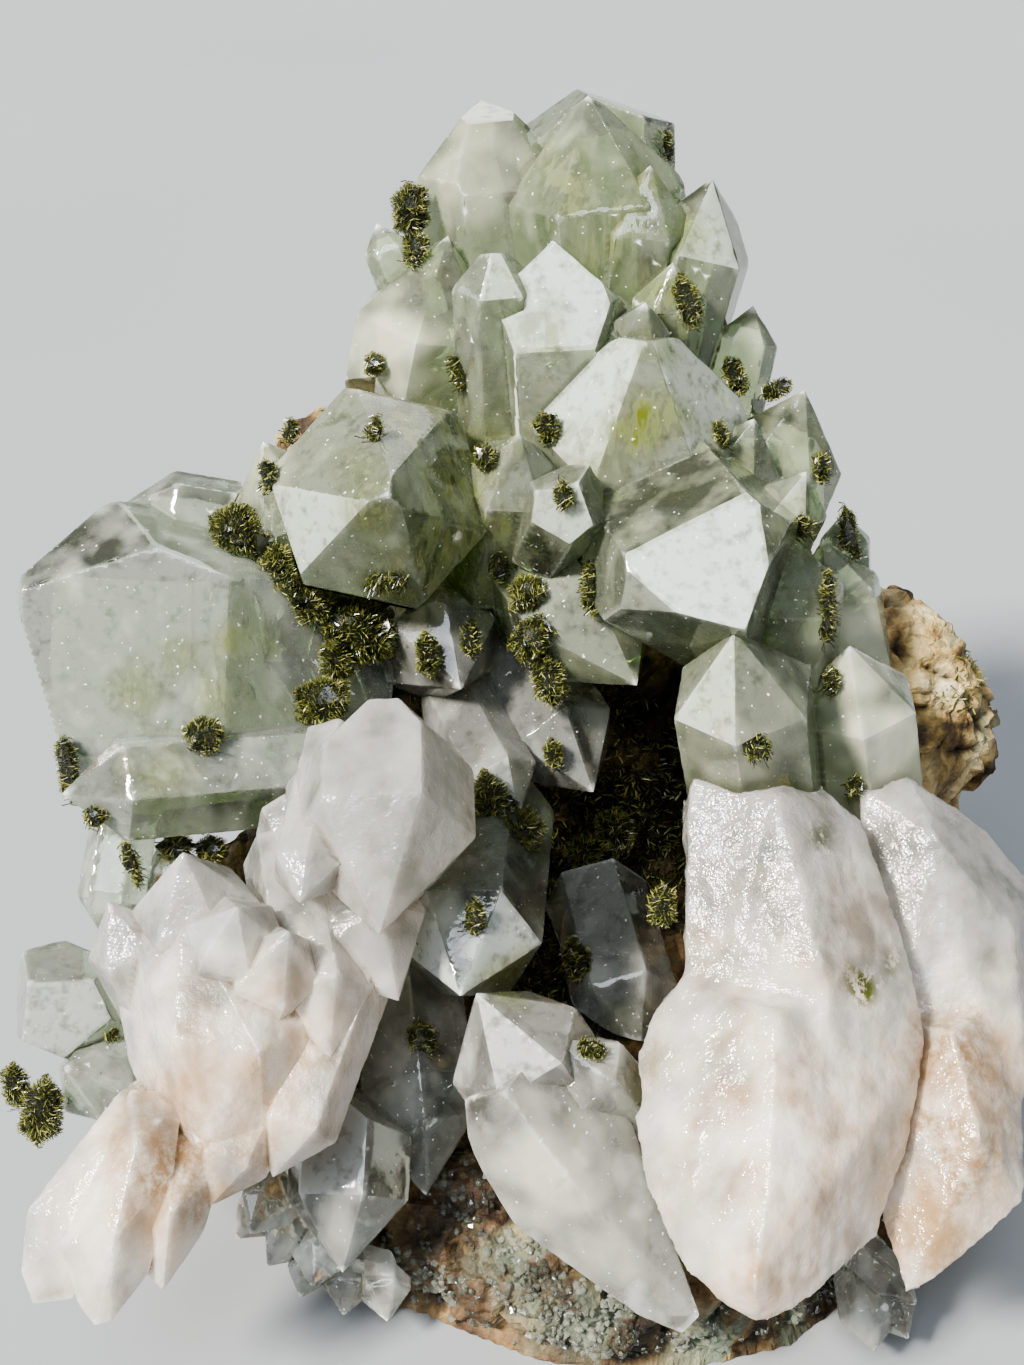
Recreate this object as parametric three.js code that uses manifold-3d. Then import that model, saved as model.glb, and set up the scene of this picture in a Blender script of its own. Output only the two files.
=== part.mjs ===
// A cabinet specimen of quartz crystals with sprays of epidote, grown on a lump of pale brown rock.
// Millimetres, +Z up. The origin is on the ground under the middle of the specimen, and the rock is
// cut off flat at the ground. The side that shows the crystals looks towards -Y and leans back.

import * as THREE from "three";
import { ConvexGeometry } from "three/addons/geometries/ConvexGeometry.js";
import { mergeVertices } from "three/addons/utils/BufferGeometryUtils.js";
import Module from "manifold-3d";

const wasm = await Module();
wasm.setup();

// Driving dimensions of the show face, the plane that the crystals spread over.
const FACE_HEIGHT = 75; // the middle of the show face above the ground
const FACE_LEAN = 30; // degrees that the face leans back from upright
const GAP = 0.35; // clearance between a piece and the pieces that it touches

// Quartz: the six end faces slope at the same angle to the long axis on every crystal.
const END_FACE_NORMAL = 51.8; // degrees from the long axis to the normal of an end face
const FULL_WIDTH = [1, 1, 1, 1, 1, 1];
const EVEN = [0, 0, 0, 0, 0, 0];
const THREE_LARGE = [0, 3, 0, 3, 0, 3]; // every second end face set back, so that three dominate

// Colours of the finished pieces.
const GREEN_QUARTZ = { color: 0xb9c4ae, roughness: 0.12, metalness: 0 };
const CLEAR_QUARTZ = { color: 0xcdd8d6, roughness: 0.1, metalness: 0 };
const MILKY_QUARTZ = { color: 0xe8dfd8, roughness: 0.3, metalness: 0 };
const GREY_QUARTZ = { color: 0xa9aaa2, roughness: 0.2, metalness: 0 };
const BROWN_ROCK = { color: 0xb09068, roughness: 0.9, metalness: 0 };
const EPIDOTE = { color: 0x4b4f22, roughness: 0.35, metalness: 0 };

// Places and directions on the show face

const LEAN = THREE.MathUtils.degToRad(FACE_LEAN);
const ACROSS = new THREE.Vector3(1, 0, 0);
const UP_FACE = new THREE.Vector3(0, Math.sin(LEAN), Math.cos(LEAN));
const OUT = new THREE.Vector3(0, -Math.cos(LEAN), Math.sin(LEAN));

// A place given as millimetres across, up and out from the middle of the show face.
function onFace([across, up, out]) {
  return new THREE.Vector3(0, 0, FACE_HEIGHT)
    .addScaledVector(ACROSS, across)
    .addScaledVector(UP_FACE, up)
    .addScaledVector(OUT, out);
}

// A direction given by its heading on the face, anticlockwise from across, and its tilt outwards.
function faceDirection(heading, tilt) {
  const h = THREE.MathUtils.degToRad(heading);
  const t = THREE.MathUtils.degToRad(tilt);
  return new THREE.Vector3()
    .addScaledVector(ACROSS, Math.cos(t) * Math.cos(h))
    .addScaledVector(UP_FACE, Math.cos(t) * Math.sin(h))
    .addScaledVector(OUT, Math.sin(t));
}

// Solids

function solidFrom(geometry) {
  const bare = geometry.clone();
  bare.deleteAttribute("normal");
  bare.deleteAttribute("uv");
  const merged = mergeVertices(bare, 1e-4);
  return new wasm.Manifold(
    new wasm.Mesh({
      numProp: 3,
      vertProperties: new Float32Array(merged.attributes.position.array),
      triVerts: new Uint32Array(merged.index.array),
    }),
  );
}

function joined(solids) {
  return solids.reduce((whole, solid) => whole.add(solid));
}

// The largest body of a solid: a cut can leave slivers, which are dropped.
function mainBody(solid) {
  const bodies = solid.decompose();
  return bodies.reduce((best, body) => (body.volume() > best.volume() ? body : best));
}

// The faces of one quartz crystal, each as a normal and a distance from the origin.
function crystalFaces(crystal, grow) {
  const { heading, tilt, width, length, roll = 0 } = crystal;
  const { flats = FULL_WIDTH, caps = EVEN, cuts = [] } = crystal;
  const tip = onFace(crystal.tip);
  const axis = faceDirection(heading, tilt);
  const side = OUT.clone().addScaledVector(axis, -axis.dot(OUT)).normalize();
  const faces = [];
  const slope = THREE.MathUtils.degToRad(END_FACE_NORMAL);
  for (let k = 0; k < 6; k += 1) {
    const turn = THREE.MathUtils.degToRad(roll + 60 * k);
    const flat = side.clone().applyAxisAngle(axis, turn);
    faces.push({ normal: flat, distance: flat.dot(tip) + (flats[k] * width) / 2 + grow });
    const end = flat.clone().multiplyScalar(Math.sin(slope)).addScaledVector(axis, Math.cos(slope));
    faces.push({ normal: end, distance: end.dot(tip) + caps[k] + grow });
  }
  const root = axis.clone().negate();
  faces.push({ normal: root, distance: root.dot(tip) + length + grow });
  for (const [cutHeading, cutTilt, depth] of cuts) {
    const normal = faceDirection(cutHeading, cutTilt);
    faces.push({ normal, distance: normal.dot(tip) - depth + grow });
  }
  return faces;
}

// Where three faces meet, or null where they have no single common point.
function meetingPoint(a, b, c) {
  const bc = new THREE.Vector3().crossVectors(b.normal, c.normal);
  const volume = a.normal.dot(bc);
  if (Math.abs(volume) < 1e-6) return null;
  return bc
    .multiplyScalar(a.distance)
    .addScaledVector(new THREE.Vector3().crossVectors(c.normal, a.normal), b.distance)
    .addScaledVector(new THREE.Vector3().crossVectors(a.normal, b.normal), c.distance)
    .divideScalar(volume);
}

function solidBetween(faces) {
  const corners = [];
  for (let i = 0; i < faces.length; i += 1) {
    for (let j = i + 1; j < faces.length; j += 1) {
      for (let k = j + 1; k < faces.length; k += 1) {
        const point = meetingPoint(faces[i], faces[j], faces[k]);
        if (!point) continue;
        if (faces.some((face) => face.normal.dot(point) > face.distance + 1e-4)) continue;
        if (corners.some((corner) => corner.distanceTo(point) < 0.02)) continue;
        corners.push(point);
      }
    }
  }
  return solidFrom(new ConvexGeometry(corners));
}

// A broken blade has no regular faces: it is the hull of hand-placed corners on the show face.
function bladeSolid(blade, grow) {
  const corners = blade.corners.map(onFace);
  const middle = new THREE.Vector3();
  corners.forEach((corner) => middle.addScaledVector(corner, 1 / corners.length));
  const grown = corners.map((corner) => {
    const away = corner.clone().sub(middle);
    return corner.clone().addScaledVector(away.normalize(), grow * 1.6);
  });
  return solidFrom(new ConvexGeometry(grown));
}

function crystalSolid(crystal, grow = 0) {
  return crystal.corners ? bladeSolid(crystal, grow) : solidBetween(crystalFaces(crystal, grow));
}

// Uneven surfaces

// A repeatable number from 0 to 1 for a point of a whole-number grid.
function hash(x, y, z) {
  const s = Math.sin(x * 127.1 + y * 311.7 + z * 74.7) * 43758.5453;
  return s - Math.floor(s);
}

// Smooth noise from -1 to 1 with features one unit across.
function noise(x, y, z) {
  const [i, j, k] = [Math.floor(x), Math.floor(y), Math.floor(z)];
  const ease = (t) => t * t * (3 - 2 * t);
  const [u, v, w] = [ease(x - i), ease(y - j), ease(z - k)];
  let sum = 0;
  for (let corner = 0; corner < 8; corner += 1) {
    const [a, b, c] = [corner & 1, (corner >> 1) & 1, corner >> 2];
    const weight = (a ? u : 1 - u) * (b ? v : 1 - v) * (c ? w : 1 - w);
    sum += weight * hash(i + a, j + b, k + c);
  }
  return 2 * sum - 1;
}

// A rough lump of rock: a stretched ball whose surface is broken into ledges and pits.
function rockLump({ centre, radii, detail, seed }, grow = 0) {
  const LEDGE_SIZE = 17; // millimetres from one ledge to the next
  const LEDGE_DEPTH = 4.5;
  const PIT_SIZE = 7;
  const PIT_DEPTH = 1.6;
  const ball = solidBall(detail);
  const position = ball.getAttribute("position");
  const point = new THREE.Vector3();
  for (let i = 0; i < position.count; i += 1) {
    point.fromBufferAttribute(position, i);
    const outward = point.clone().normalize();
    point.multiply(new THREE.Vector3(...radii));
    const p = point.clone().addScalar(seed * 31);
    const ledge = Math.round(2.5 * noise(p.x / LEDGE_SIZE, p.y / LEDGE_SIZE, p.z / LEDGE_SIZE)) / 2.5;
    const pit = noise(p.x / PIT_SIZE, p.y / PIT_SIZE, p.z / PIT_SIZE);
    point.addScaledVector(outward, LEDGE_DEPTH * ledge + PIT_DEPTH * pit);
    position.setXYZ(i, point.x + centre[0], point.y + centre[1], point.z + centre[2]);
  }
  return solidFrom(grow ? pushedOut(ball, grow) : ball);
}

// The same surface moved outwards along its own normals.
function pushedOut(surface, distance) {
  surface.computeVertexNormals();
  const position = surface.getAttribute("position");
  const normal = surface.getAttribute("normal");
  for (let i = 0; i < position.count; i += 1) {
    const [x, y, z] = [normal.getX(i), normal.getY(i), normal.getZ(i)].map((part) => part * distance);
    position.setXYZ(i, position.getX(i) + x, position.getY(i) + y, position.getZ(i) + z);
  }
  return surface;
}

function solidBall(detail) {
  const ball = new THREE.IcosahedronGeometry(1, detail);
  ball.deleteAttribute("normal");
  ball.deleteAttribute("uv");
  return mergeVertices(ball, 1e-4);
}

// The rock: a base that lies on the ground, a back that carries the upper crystals, and shoulders.

const ROCK_LUMPS = [
  { centre: [13, -3, 6], radii: [57, 54, 28], detail: 3, seed: 1 },
  { centre: [8, 34, 54], radii: [46, 19, 58], detail: 2, seed: 2 },
  { centre: [53, 20, 52], radii: [22, 22, 32], detail: 2, seed: 3 },
  { centre: [-26, 25, 64], radii: [22, 20, 45], detail: 3, seed: 4 },
  { centre: [-27, -8, 32], radii: [24, 26, 24], detail: 2, seed: 5 },
  { centre: [46, -6, 32], radii: [24, 26, 24], detail: 2, seed: 6 },
  { centre: [6, 42, 86], radii: [30, 16, 31], detail: 2, seed: 8 },
];

// The dark hollow in the middle of the show face.
const ROCK_HOLLOW = { centre: [20, -8, 46], radii: [15, 23, 19], detail: 2, seed: 7 };

const GROUND_BLOCK = 400;

function rockSolid(grow = 0) {
  const below = new THREE.BoxGeometry(GROUND_BLOCK, GROUND_BLOCK, GROUND_BLOCK);
  below.translate(0, 0, -GROUND_BLOCK / 2 - grow);
  return joined(ROCK_LUMPS.map((lump) => rockLump(lump, grow)))
    .subtract(rockLump(ROCK_HOLLOW, -grow))
    .subtract(solidFrom(below));
}

// Crystals: tip as across, up and out; heading and tilt of the tip; width across flats; length.

const GREEN_CLUSTER = [
  {
    tip: [-4, 85, -8], heading: 94, tilt: 28, width: 20, length: 46,
    roll: 10, caps: [0, 1, 0, 2, 0, 1], cuts: [[90, 45, 3]],
  },
  { tip: [10.5, 81.5, 0], heading: 97, tilt: 26, width: 22, length: 46, caps: [0, 0, 1, 0, 1, 0] },
  {
    tip: [9, 88, -17], heading: 92, tilt: 14, width: 26, length: 44,
    flats: [0.7, 1, 1, 0.7, 1, 1], caps: [12, 12, 12, 12, 12, 12],
    cuts: [[70, 20, 0], [132, 25, 0.5], [95, -40, 0]],
  },
  { tip: [19, 71, 3], heading: 84, tilt: 34, width: 13, length: 30 },
  {
    tip: [28, 70.5, -2], heading: 74, tilt: 22, width: 16, length: 34,
    roll: 20, caps: [0, 0, 3, 0, 0, 0],
  },
  { tip: [34.5, 54, -8], heading: 80, tilt: 15, width: 8, length: 20 },
  {
    tip: [-9, 63.5, -6], heading: 76, tilt: 30, width: 20, length: 48,
    roll: 28, caps: [0, 0, 0, 3, 0, 0],
  },
  { tip: [-2.5, 60, 7], heading: 92, tilt: 34, width: 10.5, length: 34, roll: 8, cuts: [[92, 10, 2]] },
  { tip: [5.5, 60, 6], heading: 96, tilt: 34, width: 19, length: 38, roll: -8, caps: THREE_LARGE },
  {
    tip: [18, 46.5, 13], heading: 90, tilt: 46, width: 26, length: 40,
    caps: [0, 0, 2, 0, 2, 0], cuts: [[90, 20, 1.5]],
  },
  {
    tip: [-15.5, 23.5, 25], heading: 330, tilt: 82, width: 27, length: 44,
    roll: -12, caps: [0, 1, 0, 1, 0, 1],
  },
  {
    tip: [29, 6.5, 27], heading: 297, tilt: 55, width: 25, length: 46,
    caps: THREE_LARGE, flats: [0.8, 1, 1, 1, 1, 1],
  },
  { tip: [28, 6.5, 24], heading: 104, tilt: 42, width: 17, length: 34, roll: 10 },
  { tip: [-34, 33, 4], heading: 110, tilt: 40, width: 16, length: 34 },
  { tip: [8.5, 25.5, 20], heading: 60, tilt: 68, width: 10, length: 20, caps: THREE_LARGE },
  { tip: [1, 33, 12], heading: 80, tilt: 50, width: 13, length: 28, roll: 10 },
  { tip: [18, 51, 9], heading: 80, tilt: 50, width: 7, length: 20 },
  { tip: [22, 57.5, 4], heading: 88, tilt: 40, width: 9, length: 24 },
  { tip: [12, 52.5, 6], heading: 90, tilt: 40, width: 8, length: 24 },
  { tip: [33, 36, 5], heading: 70, tilt: 40, width: 14, length: 30 },
  { tip: [39, 28, 12], heading: 70, tilt: 45, width: 9, length: 26 },
  { tip: [41, 41, -2], heading: 72, tilt: 30, width: 16, length: 30 },
  { tip: [37, 19, 14], heading: 92, tilt: 40, width: 13, length: 30 },
  { tip: [43, 20, 0], heading: 106, tilt: 20, width: 12, length: 40, roll: 10 },
  { tip: [45, 5, 10], heading: 104, tilt: 35, width: 15, length: 34, roll: 20 },
  { tip: [46.5, 24, -3], heading: 96, tilt: 22, width: 7, length: 24, roll: 15 },
  { tip: [-19.5, 66, -9], heading: 112, tilt: 24, width: 6, length: 24 },
  { tip: [17, -0.5, 6], heading: 306, tilt: 34, width: 19, length: 34, roll: 12 },
];

const LEFT_CLUSTER = [
  {
    tip: [-67, 9, 10], heading: 178, tilt: 38, width: 36, length: 50,
    caps: [0, 2, 3, 4, 12, 10], flats: [1, 0.8, 0.8, 1, 1.3, 1.3], cuts: [[180, 20, 1.5], [197, 10, 1.2]],
  },
  { tip: [-58.5, -14.5, 17], heading: 184, tilt: 22, width: 12.5, length: 42, roll: 20 },
  { tip: [-56, 24.5, -4], heading: 172, tilt: 18, width: 12, length: 44, roll: 10 },
  { tip: [-54, -34, 12], heading: 262, tilt: 10, width: 8, length: 24 },
  { tip: [-46.5, -20.5, 8], heading: 98, tilt: 20, width: 10, length: 24 },
];

const LEFT_EDGE = [
  { tip: [-62, -38.5, 20], heading: 130, tilt: 62, width: 14, length: 26, caps: THREE_LARGE },
  { tip: [-57.5, -49.5, 19], heading: 140, tilt: 60, width: 11, length: 22 },
];

const MILKY_LEFT = [
  { tip: [-40, -20.5, 32], heading: 95, tilt: 34, width: 14, length: 46 },
  { tip: [-50, -27, 28], heading: 112, tilt: 24, width: 10, length: 40 },
  { tip: [-32.5, -26.5, 38], heading: 78, tilt: 50, width: 11, length: 38 },
  { tip: [-26.5, -29.5, 37], heading: 66, tilt: 42, width: 11, length: 36 },
  {
    tip: [-16, -30.5, 34], heading: 273, tilt: 38, width: 21, length: 28,
    cuts: [[135, 0, -21.5], [45, 0, -21.5]],
  },
  { tip: [-25.5, -26.5, 35], heading: 262, tilt: 48, width: 8, length: 28, roll: 30 },
  { tip: [-22, -45.5, 33], heading: 285, tilt: 35, width: 12, length: 30 },
  { tip: [-14, -39.5, 28], heading: 300, tilt: 30, width: 14, length: 30 },
  { tip: [-36.5, -63, 35], heading: 248, tilt: 24, width: 9, length: 30 },
  { tip: [-29, -60, 33], heading: 250, tilt: 20, width: 10, length: 30 },
  {
    corners: [
      [-49, -30, 26], [-50, -38, 24], [-48, -47, 26], [-44, -54, 30], [-38, -61, 33], [-30, -59, 33],
      [-25, -54, 30], [-21, -45, 28], [-21, -38, 28], [-28, -30, 30], [-40, -28, 32], [-40, -42, 38],
      [-30, -44, 38], [-36, -54, 37], [-46, -32, 6], [-24, -32, 4], [-24, -50, 8], [-44, -50, 10],
    ],
  },
  {
    corners: [
      [-48, -50, 32], [-54, -58, 34], [-58, -63, 36], [-58.5, -70, 37], [-57, -74, 37], [-52, -73, 38],
      [-48, -62, 40], [-44, -52, 37], [-50, -60, 24], [-44, -48, 20], [-54, -70, 30],
    ],
  },
  {
    corners: [
      [-46, -49, 34], [-53, -66, 40], [-51, -73, 40], [-49, -75.5, 40], [-47, -75, 40], [-43, -70, 38],
      [-40, -58, 38], [-40, -50, 32], [-46, -64, 43], [-44, -54, 40], [-46, -56, 22], [-46, -70, 32],
    ],
  },
  {
    corners: [
      [-42, -50, 30], [-46, -68, 36], [-41.5, -72.5, 37],
      [-37, -66, 36], [-34.5, -58, 33], [-35, -50, 28],
      [-40, -62, 41], [-40, -56, 20], [-40, -68, 28],
    ],
  },
];

const GREY_CRYSTALS = [
  {
    tip: [-21.8, -76, 19], heading: 268, tilt: 20, width: 14.5, length: 26,
    roll: 12, cuts: [[128, 0, -18.5], [55, 0, -18.5]],
  },
  { tip: [-11.5, -68.5, 10], heading: 277, tilt: 18, width: 15, length: 34, roll: 20 },
];

// Small stout crystals that line the lower edge of the rock.
const SMALL_LEFT = [
  { tip: [-28.5, -82.5, 9], heading: 250, tilt: 35, width: 5.5, length: 12 },
  { tip: [-22.5, -84.5, 10], heading: 262, tilt: 40, width: 6, length: 13 },
  { tip: [-16.5, -85, 11], heading: 280, tilt: 40, width: 6.5, length: 13 },
  { tip: [-33, -78.5, 8], heading: 230, tilt: 30, width: 6.5, length: 13 },
  { tip: [-37.5, -75.5, 6], heading: 225, tilt: 30, width: 6, length: 13 },
  { tip: [-26.5, -80, 12], heading: 255, tilt: 55, width: 7, length: 14 },
  { tip: [-34.5, -72.5, 14], heading: 235, tilt: 45, width: 7, length: 14 },
];

const SMALL_RIGHT = [
  { tip: [52.5, -87, 12], heading: 300, tilt: 35, width: 6.5, length: 14 },
  { tip: [47.5, -88, 14], heading: 272, tilt: 40, width: 7, length: 15 },
  { tip: [53.5, -82, 13], heading: 325, tilt: 35, width: 6, length: 14 },
];

const FRONT_CLUSTER = [
  { tip: [-4.5, -38.5, 27], heading: 122, tilt: 30, width: 16, length: 46 },
  { tip: [5, -44.5, 26], heading: 128, tilt: 28, width: 11, length: 46 },
  {
    corners: [
      [4.5, -45, 25], [10.5, -50.5, 25], [15, -55, 25], [18, -64, 28], [23.5, -79, 26],
      [21.5, -82, 24], [16, -79.5, 25], [8, -72.5, 25], [0.5, -68, 26], [-3, -62.5, 26],
      [-5.5, -57.5, 26], [-6, -52, 26], [7, -60, 33], [-1, -50, 31],
      [10, -50, 4], [18, -74, 4], [0, -58, 4],
    ],
  },
];

const CENTRE_CRYSTAL = [
  { tip: [-6.5, -39.5, 24], heading: 262, tilt: 60, width: 17, length: 42, roll: 10 },
];

const HOLLOW_UPPER = [
  { tip: [-7, -1, 2], heading: 300, tilt: 50, width: 16, length: 26 },
  { tip: [1, -18.5, 2], heading: 300, tilt: 36, width: 10, length: 34 },
  { tip: [11.5, -15.5, -4], heading: 302, tilt: 36, width: 15, length: 36, roll: 10 },
];

const HOLLOW_LOWER = [
  { tip: [18, -52.5, -4], heading: 285, tilt: 45, width: 14, length: 30 },
];

const MILKY_RIGHT = [
  {
    corners: [
      [23, -12, 16], [22, -19, 18], [21, -38, 22], [40, -46, 30], [53.5, -46, 22], [52, -35, 18],
      [46.5, -18, 14], [38, -10, 12], [34, -14, 22], [38, -34, 30],
      [23, -16, 4], [40, -14, 2], [46, -40, 8], [24, -40, 8],
    ],
  },
  {
    corners: [
      [21, -37, 22], [17, -42, 22], [14, -51, 24], [14, -55, 25],
      [16, -62, 30], [20, -71, 35], [24, -74, 37],
      [29, -77, 38], [34, -75, 37], [40, -72, 33], [46, -69, 28],
      [50.5, -58, 24], [53.5, -46, 21], [52, -37, 18],
      [32, -40, 32], [30, -60, 41], [28, -70, 43], [40, -58, 36],
      [20, -42, 8], [46, -44, 6], [20, -66, 18], [42, -64, 14],
    ],
  },
];

const MILKY_EDGE = [
  {
    corners: [
      [46, -12, 6], [54, -12, 6], [66, -20, 2], [74, -30, 2],
      [72, -44, 8], [68, -54, 16], [64, -56, 18],
      [48, -50, 16], [47, -34, 12], [56, -20, 14], [66, -32, 14],
      [50, -14, -6], [70, -30, -8], [66, -50, 0],
    ],
  },
  {
    corners: [
      [70, -40, 6], [66, -52, 16], [65, -58, 20], [65, -66, 24],
      [58, -71, 26], [53, -75, 27], [48.5, -77, 27],
      [46, -68, 22], [48, -56, 20], [51, -44, 18], [58, -56, 28], [56, -44, 22],
      [52, -60, 10], [64, -58, 8], [60, -44, 2],
    ],
  },
];

// Epidote: each tuft of needles is the uneven lump that its tips reach. A tuft has its middle as
// across, up and out; the heading and tilt of its long axis; its length and its width. Tufts that
// touch make up one spray.

const WIDE_TUFT = 8.5; // tufts wider than this have more facets
const TUFT_UNEVENNESS = 0.16;

function tuftSolid([at, heading, tilt, length, width], grow = 0) {
  const ball = solidBall(width > WIDE_TUFT ? 1 : 0);
  const upright = new THREE.Vector3(0, 0, 1);
  const turn = new THREE.Quaternion().setFromUnitVectors(upright, faceDirection(heading, tilt));
  const position = ball.getAttribute("position");
  const point = new THREE.Vector3();
  for (let i = 0; i < position.count; i += 1) {
    point.fromBufferAttribute(position, i);
    const bump = 2 * hash(point.x + at[0], point.y + at[1], point.z + at[2]) - 1;
    const radius = new THREE.Vector3(width / 2 + grow, width / 2 + grow, length / 2 + grow);
    point.multiply(radius).multiplyScalar(1 + TUFT_UNEVENNESS * bump);
    point.applyQuaternion(turn).add(onFace(at));
    position.setXYZ(i, point.x, point.y, point.z);
  }
  return solidFrom(ball);
}

const SPRAYS = {
  upper: [
    [[[-14.4, 67.6, -8], 100, 10, 9, 7], [[-13.6, 61.6, -7], 85, 10, 8, 5.5]],
    [[[22.7, 79, -15.5], 100, 20, 5.5, 2.6]],
    [[[24, 52, 4.5], 110, 20, 9, 4.5]],
    [[[-19.5, 45.3, -6.5], 100, 20, 4.5, 4]],
    [[[-7.4, 43.5, -1.6], 95, 10, 6.5, 3.2]],
    [[[-3.6, 30, 10.5], 80, 30, 5, 3.8]],
    [[[5, 34.5, 5], 120, 30, 6.5, 4.5]],
    [[[6.6, 24, 19.5], 100, 40, 5, 3.8]],
    [[[-17.7, 32.2, 18.5], 85, 40, 6, 3]],
    [[[-16.5, 14, 11.5], 10, 20, 7.5, 4.5]],
  ],
  left: [
    [[[-30.9, 35, -3], 95, 20, 5.5, 3.4]],
    [[[-32, 27.2, 11.5], 110, 20, 6.5, 3.4]],
    [[[-36.9, 20.2, 1], 135, 20, 12, 9], [[-30.8, 15.1, 4], 125, 30, 10, 8]],
    [
      [[-27.5, 11.5, 3], 150, 20, 9, 8], [[-21.2, 7.6, -0.5], 160, 20, 12, 10],
      [[-24.2, 3, 1.5], 90, 20, 8, 7],
    ],
    [[[-26, -2.6, 3.5], 20, 20, 10, 8]],
    [[[-40.4, -7.2, 14], 95, 50, 8, 6.5]],
    [[[-53.7, -17.2, 18.2], 40, 30, 4.5, 4]],
    [[[-50, -24, 14], 100, 20, 8.5, 3]],
    [[[-45, -22, 9], 60, 20, 6, 5.5], [[-40.5, -22.5, 8], 20, 20, 6, 5]],
    [[[-58.8, -11.2, 11.2], 95, 10, 11, 4]],
    [[[-61, -55.6, 16.5], 80, 20, 12, 7], [[-64.8, -52.8, 15], 100, 10, 8, 4.5]],
    [[[-52.8, -46.2, 13.6], 95, 20, 6, 2.6]],
  ],
  hollow: [
    [[[-11.5, 4, 3], 100, 30, 9, 4.8]],
    [[[-6.6, 11.6, -2.5], 95, 30, 7, 4.2], [[-5.8, 6, 0.5], 85, 30, 7, 4.2]],
    [[[-2, 17, 3], 100, 20, 8.5, 3.4]],
    [[[2, 12.2, 5.4], 30, 30, 6.5, 6]],
    [[[2.8, 6, 5.8], 60, 40, 8, 6.5], [[5.3, 0.4, 2.5], 100, 40, 10, 6]],
    [[[10.6, 12.6, 10.6], 95, 20, 9, 3.8]],
    [[[5.8, -10.1, -2.4], 100, 40, 6, 3.8]],
    [[[-3, -15.8, 3.4], 110, 40, 9, 7], [[1.5, -20.3, 4.8], 150, 40, 8, 7]],
    [[[15.9, -22.8, -27.6], 90, 40, 11, 8], [[11.2, -26.3, -29], 140, 40, 8, 7]],
    [[[9.5, -40, -8.5], 110, 40, 9, 6]],
    [[[20, -29.5, 14], 95, 20, 7, 5]],
  ],
  right: [
    [[[31.5, 43.5, -5], 120, 20, 7.5, 4.5]],
    [[[37.2, 41.2, -3.5], 20, 20, 6.5, 3.6]],
    [[[28, 33.5, 7], 95, 30, 5.5, 3.4]],
    [[[43, 30, -1], 85, 30, 5.5, 4]],
    [[[38.3, 20.5, 12], 170, 30, 6, 4]],
    [[[41.5, 10, 13.5], 93, 20, 12.5, 3.2]],
    [[[42.6, 0.3, 10], 95, 30, 6, 3.4]],
    [[[46.8, 20.5, -0.5], 100, 10, 9.5, 3.4]],
    [[[31.1, -8.2, 22.6], 80, 60, 4.5, 4.4]],
    [[[46.5, -14, 7], 100, 40, 5, 3.4]],
  ],
  front: [
    [[[-4.7, -29.7, 22], 95, 30, 6.5, 3.6]],
    [[[10, -46.5, 25.5], 140, 30, 5.5, 4]],
    [[[-12, -47, 12], 100, 30, 7, 4.5]],
  ],
};

// Assembly

const part = new THREE.Group();

function addPiece(name, solid, finish) {
  const { vertProperties, triVerts } = solid.getMesh();
  const geometry = new THREE.BufferGeometry();
  geometry.setAttribute("position", new THREE.BufferAttribute(vertProperties, 3));
  geometry.setIndex(new THREE.BufferAttribute(triVerts, 1));
  geometry.computeVertexNormals();
  const mesh = new THREE.Mesh(geometry, new THREE.MeshStandardMaterial(finish));
  mesh.name = name;
  part.add(mesh);
  return mesh;
}

addPiece("rock_matrix", mainBody(rockSolid()), BROWN_ROCK);

const CLUSTERS = [
  { name: "green_quartz_cluster", crystals: GREEN_CLUSTER, finish: GREEN_QUARTZ },
  { name: "clear_quartz_left", crystals: LEFT_CLUSTER, finish: CLEAR_QUARTZ },
  { name: "front_quartz_cluster", crystals: FRONT_CLUSTER, finish: CLEAR_QUARTZ },
  { name: "milky_quartz_left", crystals: MILKY_LEFT, finish: MILKY_QUARTZ },
  { name: "milky_blade_right", crystals: MILKY_RIGHT, finish: MILKY_QUARTZ },
  { name: "milky_blade_edge", crystals: MILKY_EDGE, finish: MILKY_QUARTZ },
  { name: "centre_quartz_crystal", crystals: CENTRE_CRYSTAL, finish: CLEAR_QUARTZ },
  { name: "hollow_quartz_upper", crystals: HOLLOW_UPPER, finish: GREY_QUARTZ },
  { name: "hollow_quartz_lower", crystals: HOLLOW_LOWER, finish: GREY_QUARTZ },
  { name: "grey_quartz_crystal", crystals: GREY_CRYSTALS, finish: GREY_QUARTZ },
  { name: "left_edge_quartz", crystals: LEFT_EDGE, finish: CLEAR_QUARTZ },
  { name: "small_quartz_left", crystals: SMALL_LEFT, finish: GREY_QUARTZ },
  { name: "small_quartz_right", crystals: SMALL_RIGHT, finish: GREY_QUARTZ },
];

let taken = rockSolid(GAP);
for (const { name, crystals, finish } of CLUSTERS) {
  const cluster = joined(crystals.map((crystal) => crystalSolid(crystal)));
  addPiece(name, mainBody(cluster.subtract(taken)), finish);
  taken = taken.add(joined(crystals.map((crystal) => crystalSolid(crystal, GAP))));
}

for (const [zone, sprays] of Object.entries(SPRAYS)) {
  sprays.forEach((tufts, index) => {
    const spray = joined(tufts.map((tuft) => tuftSolid(tuft)));
    addPiece(`epidote_${zone}_${index + 1}`, mainBody(spray.subtract(taken)), EPIDOTE);
    taken = taken.add(joined(tufts.map((tuft) => tuftSolid(tuft, GAP))));
  });
}

export default part;
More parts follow.
